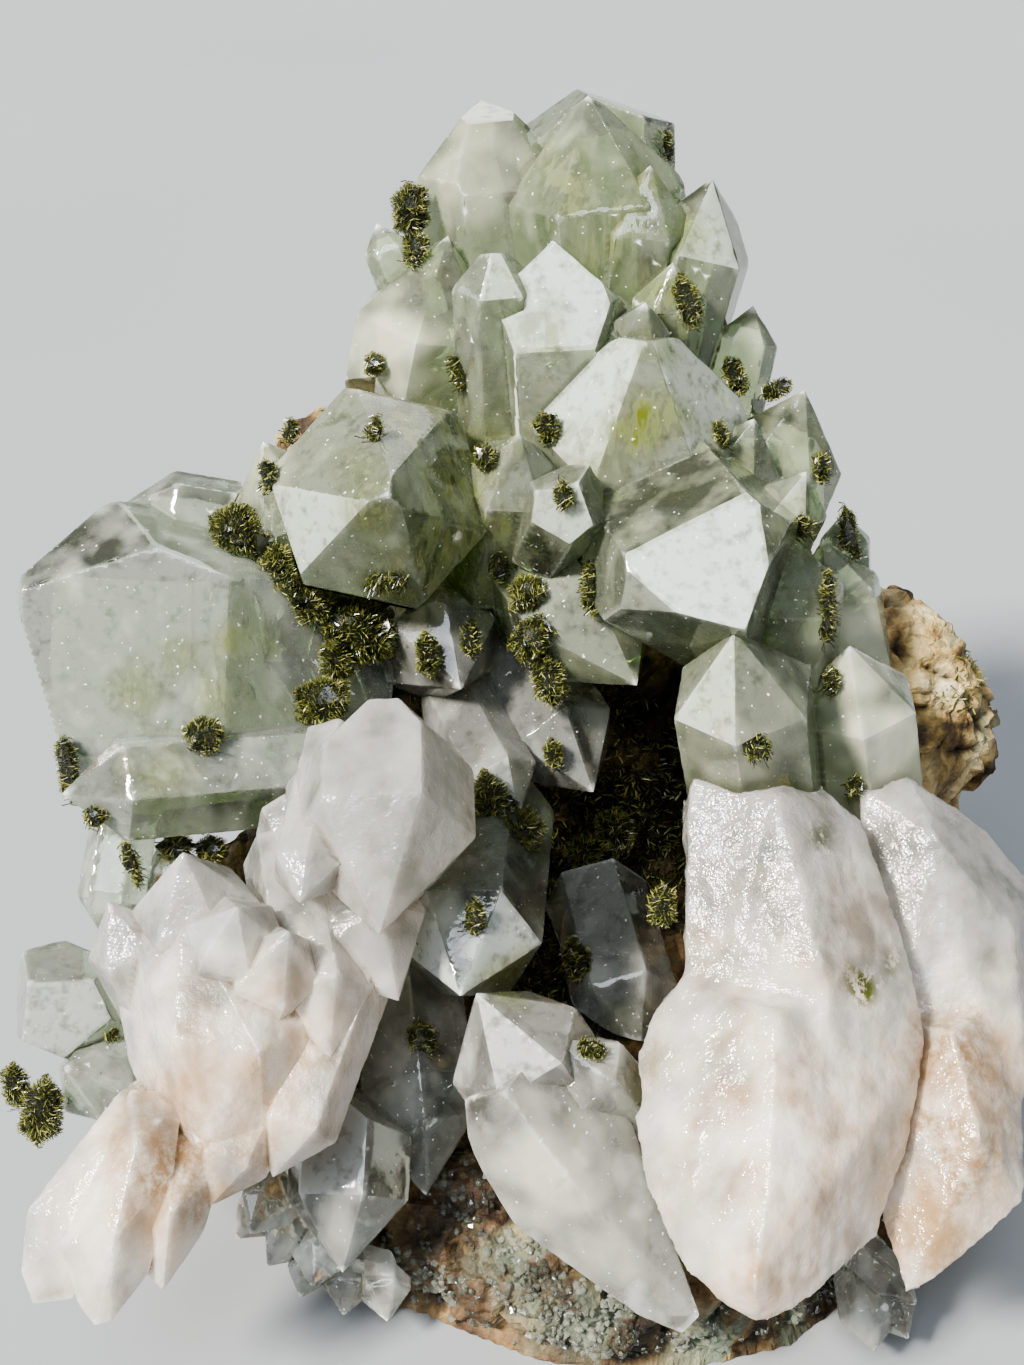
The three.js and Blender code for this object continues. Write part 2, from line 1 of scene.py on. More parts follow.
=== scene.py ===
# %% [markdown]
# # Quartz with sprays of epidote, a mineral specimen
# A cluster of quartz crystals on a lump of pale brown rock. The upper crystals are clear and greenish,
# the lower ones milky and faintly pink, and bristly olive tufts of epidote needles sit between them.
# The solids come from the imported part. This lesson gives them worn edges, a rough rock, needles and
# the finish of each mineral.

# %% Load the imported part
import math
import random

import bmesh
import bpy
import numpy as np
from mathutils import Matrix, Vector, noise
from mathutils.bvhtree import BVHTree


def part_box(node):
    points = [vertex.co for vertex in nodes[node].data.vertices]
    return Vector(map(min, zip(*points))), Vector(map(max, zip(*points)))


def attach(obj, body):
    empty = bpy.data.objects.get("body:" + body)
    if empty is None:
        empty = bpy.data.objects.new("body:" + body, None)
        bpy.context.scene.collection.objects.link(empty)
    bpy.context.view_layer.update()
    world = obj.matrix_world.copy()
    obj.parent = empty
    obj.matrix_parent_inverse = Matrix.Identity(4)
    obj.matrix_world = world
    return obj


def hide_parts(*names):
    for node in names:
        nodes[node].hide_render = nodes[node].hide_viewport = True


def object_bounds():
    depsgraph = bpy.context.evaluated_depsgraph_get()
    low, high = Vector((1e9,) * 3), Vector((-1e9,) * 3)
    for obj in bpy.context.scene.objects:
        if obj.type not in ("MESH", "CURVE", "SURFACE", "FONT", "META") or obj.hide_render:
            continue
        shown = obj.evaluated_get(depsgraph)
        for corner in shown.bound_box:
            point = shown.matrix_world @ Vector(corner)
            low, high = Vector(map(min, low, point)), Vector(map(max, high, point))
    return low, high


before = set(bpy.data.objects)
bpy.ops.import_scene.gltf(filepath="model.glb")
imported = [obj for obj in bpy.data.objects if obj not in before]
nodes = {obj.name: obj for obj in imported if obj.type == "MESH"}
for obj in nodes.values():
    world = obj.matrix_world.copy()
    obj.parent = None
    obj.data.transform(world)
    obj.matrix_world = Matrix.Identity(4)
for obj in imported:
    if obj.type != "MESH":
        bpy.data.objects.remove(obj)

MM = 0.001
cad_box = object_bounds()
size_mm = [(hi - lo) / MM for lo, hi in zip(*cad_box)]
print("solids:", len(nodes), "overall size, mm:", [round(s, 1) for s in size_mm])

# %% [markdown]
# ## The show face
# Everything that a visitor looks at lies near one plane that leans back by 30 degrees. It is simpler to
# say where a stain or a veil is by how far it is across and up that plane than by room coordinates.

# %% Places on the show face
FACE_HEIGHT = 75 * MM
FACE_LEAN = math.radians(30)
ACROSS = np.array([1.0, 0.0, 0.0])
UP_FACE = np.array([0.0, math.sin(FACE_LEAN), math.cos(FACE_LEAN)])
OUT = np.array([0.0, -math.cos(FACE_LEAN), math.sin(FACE_LEAN)])


def on_face(across, up, out):
    """A place in metres from millimetres across, up and out from the middle of the show face."""
    middle = np.array([0.0, 0.0, FACE_HEIGHT])
    return middle + MM * (across * ACROSS + up * UP_FACE + out * OUT)


def face_places(points):
    """The reverse for many points: their millimetres across, up and out, one row each."""
    away = points - np.array([0.0, 0.0, FACE_HEIGHT])
    return np.stack([away @ ACROSS, away @ UP_FACE, away @ OUT], axis=1) / MM


print("middle of the show face:", on_face(0, 0, 0).round(3))

# %% [markdown]
# ## Camera
# The picture is taken straight at the show face from 260 mm away, so the camera looks down at 30
# degrees. A 49 mm lens frames the specimen as the photograph does, with its foot on the lower edge.

# %% Camera
CAMERA_DISTANCE = 260  # millimetres out from the show face
LENS = 49.45  # millimetres, as are the two below
SENSOR_WIDTH = 36
NEAREST_SEEN = 10

camera_data = bpy.data.cameras.new("camera")
camera_data.lens = LENS
camera_data.sensor_width = SENSOR_WIDTH
camera_data.clip_start = NEAREST_SEEN * MM
camera = bpy.data.objects.new("camera", camera_data)
camera.location = on_face(0, 0, CAMERA_DISTANCE)
camera.rotation_euler = (math.radians(90) - FACE_LEAN, 0, 0)
bpy.context.scene.collection.objects.link(camera)
bpy.context.scene.camera = camera
print("camera at", [round(c, 3) for c in camera.location])

# %% [markdown]
# ## Small helpers for node trees
# A procedural material is a row of nodes that feed each other. One function adds a node, sets its
# values and makes its links, so that each material below reads as a list of what it is made of.
# Sockets are named by identifier, because several nodes have many sockets with one name.


# %% Node helpers
def pick(sockets, name):
    """A node's socket by its identifier, or else by its name."""
    for candidate in sockets:
        if candidate.identifier == name:
            return candidate
    return sockets[name]


def add_node(tree, kind, values=None, links=None, **settings):
    """Adds a node with its settings, its inputs' values and the outputs that feed its inputs."""
    made = tree.nodes.new(kind)
    for name, value in settings.items():
        setattr(made, name, value)
    for name, value in (values or {}).items():
        pick(made.inputs, name).default_value = value
    for name, source in (links or {}).items():
        tree.links.new(source, pick(made.inputs, name))
    return made


def linear(code):
    """An sRGB hex code, as linear values, by the standard's own curve."""
    parts = [int(code[i:i + 2], 16) / 255 for i in (1, 3, 5)]
    return tuple(p / 12.92 if p <= 0.04045 else ((p + 0.055) / 1.055) ** 2.4 for p in parts) + (1.0,)


def set_ramp(ramp, stops):
    """Gives a colour ramp its stops, each a position and a hex code."""
    elements = ramp.color_ramp.elements
    while len(elements) < len(stops):
        elements.new(0.5)
    for element, (position, code) in zip(elements, stops):
        element.position = position
        element.color = linear(code)


def new_material(name):
    material = bpy.data.materials.new(name)
    material.use_nodes = True
    material.node_tree.nodes.clear()
    return material


def scale_for(size):
    """The Scale of a texture node on Object coordinates whose features are that many millimetres wide."""
    return 1 / (size * MM)


print("white as a linear colour:", linear("#ffffff"), "scale for 2 mm:", scale_for(2))

# %% [markdown]
# ## Fine copies of the solids
# Real crystal edges are never razor sharp. Each flat face is cut into small triangles that stay in its
# plane, and only the points on the edges are worn back, unevenly, so that the edges glint in places.
# The faces stay true planes, which matters for clear crystal: light that passes through a bumpy mesh
# looks like jelly. Quartz faces differ, too: one is glassy, and the next is frosted. So each face carries
# its own random amount of frost, and the faces that would mirror the sky, named by place, get a painted sky
# reflection.

# %% Frosted faces and painted sky reflections
SKY_SHEEN_FACETS = {  # places across and up, in millimetres, of the faces with a painted sky reflection
    "green_quartz_cluster": [
        (-24.2, 22.3), (26.2, 15.4), (38.8, 23.5), (-3.6, 54.2), (9.9, 53.9), (8.3, 39.2), (22.3, 40.0),
        (28.3, 59.8), (-1.7, 82.3), (24.0, -2.2), (6.8, 24.7),
    ],
    "centre_quartz_crystal": [(-9.9, -34.2), (1.0, -32.0)],
    "hollow_quartz_upper": [(-1.6, -10.7)],
    "left_edge_quartz": [(-60.5, -40.0)],
    "grey_quartz_crystal": [(-21.9, -59.6)],
    "front_quartz_cluster": [(-2.0, -44.0)],
    "milky_quartz_left": [(-34.1, -30.6), (-24.6, -17.9), (-20.4, -9.5)],
}
PAINTED_SKY_SHEEN = 0.62  # how strongly the painted sky reflection covers the named faces, where 1 hides all that lies behind
MOST_RANDOM_FROST = 0.3  # every other face gets up to this much


def facet_at(bm, across, up):
    """The face met by a line that comes straight in at a place on the show face."""
    start = Vector(on_face(across, up, CAMERA_DISTANCE / 2))
    return BVHTree.FromBMesh(bm).ray_cast(start, Vector(-OUT))[2]


print("frosted faces:", sum(len(places) for places in SKY_SHEEN_FACETS.values()))

# %% Cut a solid into small flat triangles
WELD = 0.02  # millimetres within which two points are one
FLAT_WITHIN = math.radians(1.0)  # faces closer than this to one plane become one face
EDGE_FROM = math.radians(9.0)  # an edge that bends more than this is an edge of the crystal
MOST_CUTS = 9  # rounds of cutting long edges in two


def fine_copy(name, longest, seed):
    """A bmesh of a CAD solid whose edges are no longer than that many millimetres."""
    bm = bmesh.new()
    bm.from_mesh(nodes[name].data)
    bmesh.ops.remove_doubles(bm, verts=bm.verts, dist=WELD * MM)
    bmesh.ops.dissolve_limit(bm, angle_limit=FLAT_WITHIN, verts=bm.verts, edges=bm.edges)
    for edge in bm.edges:
        edge.smooth = edge.calc_face_angle(0.0) < EDGE_FROM
    chance = random.Random(seed)
    frost_and_sky_sheen = bm.faces.layers.float.new("frost_and_sky_sheen")
    bm.faces.ensure_lookup_table()
    for face in bm.faces:
        face.smooth = True
        face[frost_and_sky_sheen] = MOST_RANDOM_FROST * chance.random()
    # painted sky reflection: the named faces get a pale bluish colour in place of the light they would
    # mirror
    for across, up in SKY_SHEEN_FACETS.get(name, []):
        found = facet_at(bm, across, up)
        if found is not None:
            bm.faces[found][frost_and_sky_sheen] = PAINTED_SKY_SHEEN
    bmesh.ops.triangulate(bm, faces=bm.faces)
    for _ in range(MOST_CUTS):
        long_edges = [edge for edge in bm.edges if edge.calc_length() > longest * MM]
        if not long_edges:
            break
        bmesh.ops.subdivide_edges(bm, edges=long_edges, cuts=1)
        bmesh.ops.triangulate(bm, faces=[face for face in bm.faces if len(face.verts) > 3])
    return bm


print("edges from", round(math.degrees(EDGE_FROM)), "degrees are crystal edges")

# %% Wear the edges
CHIP_SIZE = 2.4  # millimetres from one chip to the next along an edge
FINE_CHIP_SIZE = 0.7
EVEN_WEAR = 0.2  # shares of the greatest wear: all along an edge
CHIP_WEAR = 0.6  # in a chip
FINE_CHIP_WEAR = 0.2  # in a fine chip
CORNER_WEAR = 0.2  # where three edges or more meet
SEED_SHIFT = Vector((3.1, 5.7, 7.3))  # moves the noise on, so that no two clusters have the same chips


def wear_edges(bm, depth, seed):
    """Wears the crystal's edges back by up to depth millimetres, unevenly."""
    bm.normal_update()
    shift = seed * SEED_SHIFT
    moves = []
    for vert in bm.verts:
        sharp = sum(1 for edge in vert.link_edges if not edge.smooth)
        if not sharp:
            continue
        chip = max(0.0, noise.noise(vert.co / (CHIP_SIZE * MM) + shift))
        fine = max(0.0, noise.noise(vert.co / (FINE_CHIP_SIZE * MM) + shift))
        wear = EVEN_WEAR + CHIP_WEAR * chip + FINE_CHIP_WEAR * fine + (CORNER_WEAR if sharp > 2 else 0.0)
        moves.append((vert, vert.normal * (-depth * MM * wear)))
    for vert, move in moves:
        vert.co += move


print("chips are", CHIP_SIZE, "and", FINE_CHIP_SIZE, "mm wide")

# %% [markdown]
# ## Where colour sits
# Veils of yellow-green needles inside the crystals, iron stains and the kinds of rock are colour only.
# They are written on the points of the mesh as soft spots, and the materials read them. Spots fade out
# behind the show face, so that the back of the specimen stays plain.

# %% Places of the spots on the show face
GREEN_VEILS = [  # across, up, radius in millimetres, strength
    (17.5, 34, 5.5, 1.0), (12, 30, 6, 0.5), (-6, 32, 5, 1.0), (-7, 25, 5.5, 1.0), (-9, 17, 6, 1.0),
    (-2, 33, 4, 0.7), (-18, 22, 4, 0.8), (-14, 33, 4, 0.7), (7, 70, 5, 0.7), (15, 62, 4, 0.7),
    (22, 53, 5, 0.8), (4, 48, 4, 0.7), (-11, 38, 4, 0.6), (38, 20, 5, 0.8), (43, 8, 5, 0.6),
    (-36, 6, 3.5, 0.7), (-50, -1, 4, 0.6), (-39, -2, 4, 0.6), (-44, 3.5, 3, 0.5), (-45, -12, 5, 0.5),
    (43.5, -37.5, 2.6, 1.0), (40, -19.7, 2.4, 0.8), (48, -36, 2.2, 0.6), (28, -20, 1.8, 0.5),
    (24, 4, 4, 0.4), (-12, 60, 5, 0.4), (30, 30, 5, 0.5), (16, -48, 4, 0.3), (9, 66, 4, 0.6),
    (19, 45, 4, 0.5), (0, -38, 3.5, 0.8), (-20, 27, 4, 0.5), (-4, 20, 6, 0.8), (-15, 13, 5, 0.7),
    (-3, 12, 5, 0.7), (12, 60, 4, 0.7), (19, 69, 3.5, 0.7), (23, 62, 4, 0.6),
]
ORANGE_STAINS = [
    (-40, -57, 7, 1.0), (-37, -62, 5, 0.8), (-44, -52, 4, 0.6), (-33, -50, 6, 0.4), (56, -48, 8, 1.0),
    (56, -60, 9, 1.0), (53, -70, 7, 0.9), (26, -25, 3, 0.45), (24, -36, 3, 0.4), (-30, -57, 5, 0.6),
    (18, -62, 5, 0.3), (5, -58, 4, 0.5), (62, -56, 8, 0.7), (-26, -48, 5, 0.3), (24, -50, 4, 0.3),
]
WARM_PARTS = [
    (-33, -48, 14, 1.0), (-44, -62, 14, 0.9), (-25, -42, 9, 0.7), (-50, -72, 10, 0.6), (36, -55, 24, 0.8),
    (32, -76, 18, 1.0), (58, -52, 16, 1.0), (56, -68, 16, 1.0), (44, -30, 12, 0.4),
]
HAZY_PARTS = [
    (-18, 48, 9, 0.8), (-6, 72, 9, 0.6), (46, 4, 9, 0.8), (51, -9, 9, 0.9), (43, -17, 8, 0.7),
    (-33, 30, 6, 0.6), (30, -8, 8, 0.5), (40, 58, 6, 0.4), (4, -60, 10, 0.7), (11, -70, 8, 0.6),
]
# dark rock at the foot, and painted shade in the hollow, which turns its rock almost black
DARK_ROCK_AND_HOLLOW_SHADE = [
    (20, -20, 21, 1.0), (8, -32, 18, 1.0), (12, -4, 20, 1.0), (6, -48, 12, 1.0), (-14, 8, 16, 1.0),
    (20, 12, 14, 0.9), (-8, -58, 11, 0.8), (-30, 10, 12, 0.8), (-14, -76, 12, 0.6), (14, -80, 12, 0.5),
    (40, -84, 12, 0.5), (-38, -20, 9, 0.8),
]
GREEN_ROCK = [
    (2, -78, 9, 1.0), (12, -84, 10, 1.0), (28, -88, 10, 1.0), (42, -86, 9, 1.0), (-18, -82, 6, 0.8),
    (67, 6, 5, 0.9), (73, -6, 5, 0.9), (40, 46, 8, 0.7), (-30, 38, 6, 0.5),
]
PALE_ROCK = [
    (58, 6, 16, 1.0), (66, -6, 16, 1.0), (48, 34, 14, 0.8), (-32, 38, 12, 0.9), (30, -92, 14, 0.5),
]
print("green veils:", len(GREEN_VEILS), "stains:", len(ORANGE_STAINS))

# %% Paint spots and clouds on a mesh
FRONT_FADE = (-58, -42)  # millimetres out: nothing is painted behind the first, all before the second
RIM_SIZE = 4  # millimetres from one notch to the next in the rim of a spot
RAGGED = 0.55  # how far the rim of a spot is notched, as a share of its radius
FADE_FROM = 0.3  # a spot is full out to this share of its radius, and has faded out one radius further


def paint_spots(mesh, name, spots, above=None):
    """Writes soft spots with a ragged rim on the points of a mesh as an attribute from 0 to 1.

    Nothing is painted below the height of above millimetres."""
    count = len(mesh.vertices)
    points = np.empty(count * 3)
    mesh.vertices.foreach_get("co", points)
    points = points.reshape(-1, 3)
    places = face_places(points)
    rim = np.array([noise.noise(Vector(p) / (RIM_SIZE * MM)) for p in points])
    value = np.zeros(count)
    for across, up, radius, strength in spots:
        away = np.hypot(places[:, 0] - across, places[:, 1] - up) / radius
        value = np.maximum(value, strength * np.clip(1 + FADE_FROM - away + RAGGED * rim, 0, 1))
    behind, before = FRONT_FADE
    value = value * np.clip((places[:, 2] - behind) / (before - behind), 0, 1)
    if above:
        value = np.where(points[:, 2] > above * MM, value, 0)
    attribute = mesh.attributes.new(name, "FLOAT", "POINT")
    attribute.data.foreach_set("value", value.astype(np.float32))


CLOUD_STRETCH = 1.8  # clouds are taller than wide, as the crystals are
CLOUD_ROUGHNESS = 0.8  # a low value gives the small clouds as much weight as the large ones
CLOUD_STEP = 2.0  # each finer layer of clouds is this many times smaller


def paint_clouds(mesh, size, layers):
    """Writes a cloudy value from 0 to 1 on the points of a mesh. size is a cloud's width in millimetres."""
    width = Vector((size, size, CLOUD_STRETCH * size)) * MM
    value = []
    for vertex in mesh.vertices:
        place = Vector((vertex.co.x / width.x, vertex.co.y / width.y, vertex.co.z / width.z))
        value.append(0.5 + 0.5 * noise.fractal(place, CLOUD_ROUGHNESS, CLOUD_STEP, layers))
    attribute = mesh.attributes.new("cloud", "FLOAT", "POINT")
    attribute.data.foreach_set("value", value)


print("spots fade out between", FRONT_FADE, "mm behind the show face")

# %% [markdown]
# ## Clear quartz
# The eye sees through the faces into a faintly green, slightly cloudy body, and catches crisp pale
# reflections where a face turns to the light. Quartz bends light by 1.544. The body's colour comes
# from absorption, so thick parts are deeper in colour than thin ones. Cloudy parts, veils, frosted faces,
# chipped edges, the painted sky reflection on some faces, painted sparkles and the painted shade in
# crevices hide what lies behind, so there the surface passes less light and shows its own colour. The
# veils could be real needles inside the crystal, but light rarely finds its way to them and back.

# %% Helpers for painted materials
EDGE_BEND = (0.515, 0.6)  # Pointiness from which a place begins to count as an edge, and counts fully
CREVICE_SHADE_BEND = (0.485, 0.42)  # the same for a crevice, which gets painted shade
DEEP_CREVICE_SHADE_BEND = (0.485, 0.4)


def broken_spot(tree, name, grain, low, high):
    """A painted spot broken up by a noise node, as an output whose value runs from 0 to 1."""
    spot = add_node(tree, "ShaderNodeAttribute", attribute_name=name)
    flecks = add_node(tree, "ShaderNodeMapRange", {"From Min": low, "From Max": high},
                      {"Value": grain.outputs["Fac"]})
    both = add_node(tree, "ShaderNodeMath", {},
                    {"Value": spot.outputs["Fac"], "Value_001": flecks.outputs["Result"]},
                    operation="MULTIPLY", use_clamp=True)
    return both.outputs["Value"]


def blend(tree, share, first, second):
    """Mixes two colours by a share from 0 to 1. Each colour is a hex code or an output."""
    values = {}
    links = {"Factor_Float": share}
    for socket, colour in (("A_Color", first), ("B_Color", second)):
        if isinstance(colour, str):
            values[socket] = linear(colour)
        else:
            links[socket] = colour
    return pick(add_node(tree, "ShaderNodeMix", values, links, data_type="RGBA").outputs, "Result_Color")


def worn(tree, bend):
    """How far a place is an edge or a corner, or a crevice, from 0 to 1."""
    low, high = bend
    pointed = add_node(tree, "ShaderNodeNewGeometry").outputs["Pointiness"]
    return add_node(tree, "ShaderNodeMapRange", {"From Min": low, "From Max": high},
                    {"Value": pointed}).outputs["Result"]


def strongest(tree, shares):
    """The largest of some values at each place."""
    most = shares[0]
    for other in shares[1:]:
        most = add_node(tree, "ShaderNodeMath", {}, {"Value": most, "Value_001": other},
                        operation="MAXIMUM").outputs["Value"]
    return most


print("edges turn pale from a Pointiness of", EDGE_BEND[0])

# %% Clear quartz material
QUARTZ_IOR = 1.544
WISP = 2.0833  # sizes of the patterns in millimetres
VEIL_STREAK = 1.7857
STREAK_STRETCH = (1.0, 1.0, 0.22)  # a streak is 1 / 0.22 times longer than wide
SPARKLE = 0.5263
WISP_DEPTH = 0.12  # millimetres of unevenness on a face


def clear_quartz(name, body, cloud, frost_and_sky_sheen, absorbed, density, cloudiness, chipped=True):
    """Clear crystal. cloudiness is how much of the light the cloudiest parts hold back."""
    material = new_material(name)
    tree = material.node_tree
    place = add_node(tree, "ShaderNodeTexCoord").outputs["Object"]
    # wisps some 2 mm long give the faces their small unevenness
    wisps = add_node(tree, "ShaderNodeTexNoise", {"Scale": scale_for(WISP), "Detail": 2, "Roughness": 0.7},
                     {"Vector": place})
    # the veils are drawn out into streaks, as the needles in them lie along the crystal
    along = add_node(tree, "ShaderNodeMapping", {"Scale": STREAK_STRETCH}, {"Vector": place})
    streaks = add_node(tree, "ShaderNodeTexNoise",
                       {"Scale": scale_for(VEIL_STREAK), "Detail": 2, "Roughness": 0.7},
                       {"Vector": along.outputs["Vector"]})
    veiled = broken_spot(tree, "green_veil", streaks, 0.36, 0.64)
    clouds = add_node(tree, "ShaderNodeAttribute", attribute_name="cloud")
    cloudy = add_node(tree, "ShaderNodeMapRange", {"From Min": 0.3, "From Max": 0.95, "To Max": cloudiness},
                      {"Value": clouds.outputs["Fac"]}).outputs["Result"]
    # frost, and on the named faces a painted sky reflection, mix in the pale frost colour
    frost_and_sky_sheen_share = broken_spot(tree, "frost_and_sky_sheen", wisps, 0.1, 0.5)
    colour = blend(tree, cloudy, body, cloud)
    colour = blend(tree, frost_and_sky_sheen_share, colour, frost_and_sky_sheen)
    tinted = broken_spot(tree, "green_veil", clouds, 0.0, 0.5)
    colour = blend(tree, tinted, colour, "#cbd59c")
    colour = blend(tree, veiled, colour, "#69722a")
    # some crystals are cream-coloured and let less light through
    hazy = broken_spot(tree, "haze", clouds, -0.6, 0.6)
    colour = blend(tree, hazy, colour, "#dedcc6")
    # painted sparkles: tiny pale points stand in for glints
    sparkle_noise = add_node(tree, "ShaderNodeTexNoise", {"Scale": scale_for(SPARKLE), "Detail": 0}, {"Vector": place})
    sparkle = add_node(tree, "ShaderNodeMapRange", {"From Min": 0.79, "From Max": 0.84},
                     {"Value": sparkle_noise.outputs["Fac"]}).outputs["Result"]
    colour = blend(tree, sparkle, colour, "#f4f7f4")
    hidden_by = [cloudy, frost_and_sky_sheen_share, veiled, hazy, sparkle]
    if chipped:
        # chipped edges scatter light, and painted shade darkens the crevices where crystals meet
        edges = worn(tree, EDGE_BEND)
        crevice_shade = worn(tree, CREVICE_SHADE_BEND)
        colour = blend(tree, edges, colour, "#f2f5f1")
        colour = blend(tree, crevice_shade, colour, "#5f6349")
        hidden_by += [edges, crevice_shade]
    passes = add_node(tree, "ShaderNodeMapRange", {"To Min": 0.96, "To Max": 0.15},
                      {"Value": strongest(tree, hidden_by)})
    gloss = add_node(tree, "ShaderNodeMapRange",
                     {"From Min": 0.4, "From Max": 0.7, "To Min": 0.02, "To Max": 0.16},
                     {"Value": wisps.outputs["Fac"]})
    bump = add_node(tree, "ShaderNodeBump", {"Strength": 0.25, "Distance": WISP_DEPTH * MM},
                    {"Height": wisps.outputs["Fac"]})
    shader = add_node(tree, "ShaderNodeBsdfPrincipled", {"IOR": QUARTZ_IOR},
                      {"Base Color": colour, "Roughness": gloss.outputs["Result"],
                       "Transmission Weight": passes.outputs["Result"], "Normal": bump.outputs["Normal"]})
    absorb = add_node(tree, "ShaderNodeVolumeAbsorption", {"Color": linear(absorbed), "Density": density})
    add_node(tree, "ShaderNodeOutputMaterial", {},
             {"Surface": shader.outputs["BSDF"], "Volume": absorb.outputs["Volume"]})
    return material


# pale olive green in the depth, grey-green in the clouds
green_quartz = clear_quartz("pale green quartz", "#e6eed0", "#b9c69c", "#e3ede8", "#a9bb78", 90, 0.42)
# almost colourless, with a cold grey cloud
pale_quartz = clear_quartz("clear quartz", "#eef2e6", "#cdd5c4", "#e9f0ee", "#b7c49e", 80, 0.5)
# hazy white, clear only in spots
hazy_quartz = clear_quartz("hazy white quartz", "#f0f1ea", "#dad9cf", "#eef1ef", "#c9c6b0", 70, 0.75)
# a crust of tiny points, clear and a little green
crust_quartz = clear_quartz("quartz crust", "#dfe2d4", "#a9ad9a", "#dfe4e0", "#b0b898", 150, 0.6,
                            chipped=False)
# painted shade: a greyer copy of clear quartz, whose grey stands in for the dark rock seen through these
# crystals and the shadow in the hollow
grey_quartz = clear_quartz("shaded grey quartz", "#dfe0d6", "#adaea2", "#cdd2d2", "#aaa994", 75, 0.65)
clear_kinds = (green_quartz, pale_quartz, hazy_quartz, crust_quartz, grey_quartz)
print("clear materials:", [material.name for material in clear_kinds])

# %% [markdown]
# ## Milky quartz
# The lower crystals are full of tiny bubbles of liquid, so light goes in a few millimetres and comes
# out again: they glow softly, pinkish beige where they are thick, and let some light through where
# they are clearer. The surface is glossy in places, and iron has stained it orange near the rock.

# %% Milky quartz: colour
FLECK = 1.9231  # sizes in millimetres
SKIN_CHIP = 3.8462
SKIN_DEPTH = 0.7
GLOW_DEPTH = 3  # how far light travels under the skin
FROST_AND_SKY_SHEEN_LIFT = 0.25  # how much paler frost and the painted sky reflection make a face, as a share of the ramp

milky_quartz = new_material("milky quartz")
tree = milky_quartz.node_tree
place = add_node(tree, "ShaderNodeTexCoord").outputs["Object"]
flecks = add_node(tree, "ShaderNodeTexNoise", {"Scale": scale_for(FLECK), "Detail": 3, "Roughness": 0.75},
                  {"Vector": place})
clouds = add_node(tree, "ShaderNodeAttribute", attribute_name="cloud")
# frost, and on the named faces a painted sky reflection, lift the milky colour ramp
frost_and_sky_sheen = add_node(tree, "ShaderNodeAttribute", attribute_name="frost_and_sky_sheen").outputs["Fac"]
lift = add_node(tree, "ShaderNodeMath", {"Value_001": FROST_AND_SKY_SHEEN_LIFT}, {"Value": frost_and_sky_sheen}, operation="MULTIPLY")
lifted = add_node(tree, "ShaderNodeMath", {},
                  {"Value": clouds.outputs["Fac"], "Value_001": lift.outputs["Value"]}, operation="ADD")
# skim-milk white where light comes through, warm beige in the thick lower parts
cool = add_node(tree, "ShaderNodeValToRGB", {}, {"Fac": lifted.outputs["Value"]})
set_ramp(cool, [(0.15, "#a9aca5"), (0.45, "#dad9d3"), (0.9, "#f8f7f3")])
warm = add_node(tree, "ShaderNodeValToRGB", {}, {"Fac": lifted.outputs["Value"]})
set_ramp(warm, [(0.15, "#be9f7d"), (0.45, "#e2cfba"), (0.9, "#f4ece0")])
warmth = add_node(tree, "ShaderNodeAttribute", attribute_name="warm").outputs["Fac"]
milky_colour = blend(tree, warmth, cool.outputs["Color"], warm.outputs["Color"])
# iron stains, and the short green needles that lie just under the skin
milky_colour = blend(tree, broken_spot(tree, "orange_stain", flecks, 0.25, 0.6), milky_colour, "#a88a66")
milky_colour = blend(tree, broken_spot(tree, "green_veil", flecks, 0.4, 0.5), milky_colour, "#5c6628")
# chipped edges are white, and painted shade darkens the crevices
milky_colour = blend(tree, worn(tree, EDGE_BEND), milky_colour, "#f6f6f3")
milky_colour = blend(tree, worn(tree, DEEP_CREVICE_SHADE_BEND), milky_colour, "#8a7457")
print("milky material:", milky_quartz.name, "with", len(tree.nodes), "nodes for its colour")

# %% Milky quartz: skin and glow
# the cool parts let more light through than the warm ones
window = add_node(tree, "ShaderNodeMapRange",
                  {"From Min": 0.0, "From Max": 0.8, "To Min": 0.6, "To Max": 0.15}, {"Value": warmth})
gloss = add_node(tree, "ShaderNodeMapRange",
                 {"From Min": 0.36, "From Max": 0.66, "To Min": 0.07, "To Max": 0.27},
                 {"Value": flecks.outputs["Fac"]})
# the skin is broken into small angular chips some 4 mm wide
chips = add_node(tree, "ShaderNodeTexVoronoi", {"Scale": scale_for(SKIN_CHIP)}, {"Vector": place},
                 distance="CHEBYCHEV")
relief = add_node(tree, "ShaderNodeMath", {},
                  {"Value": chips.outputs["Distance"], "Value_001": flecks.outputs["Fac"]}, operation="ADD")
bump = add_node(tree, "ShaderNodeBump", {"Strength": 0.5, "Distance": SKIN_DEPTH * MM},
                {"Height": relief.outputs["Value"]})
shader = add_node(tree, "ShaderNodeBsdfPrincipled",
                  {"IOR": QUARTZ_IOR, "Subsurface Weight": 0.7, "Subsurface Radius": (1.0, 0.92, 0.84),
                   "Subsurface Scale": GLOW_DEPTH * MM},
                  {"Base Color": milky_colour, "Roughness": gloss.outputs["Result"],
                   "Transmission Weight": window.outputs["Result"], "Normal": bump.outputs["Normal"]},
                  subsurface_method="BURLEY")
absorb = add_node(tree, "ShaderNodeVolumeAbsorption", {"Color": linear("#e0d6c4"), "Density": 60})
add_node(tree, "ShaderNodeOutputMaterial", {},
         {"Surface": shader.outputs["BSDF"], "Volume": absorb.outputs["Volume"]})
print("light goes", GLOW_DEPTH, "mm into the milky quartz")

# %% [markdown]
# ## Crystals
# Each cluster of crystals grew into one lump and is one solid. Its fine copy takes the solid's place. A
# large cluster gets longer edges than a small one, which keeps the number of triangles in bounds.

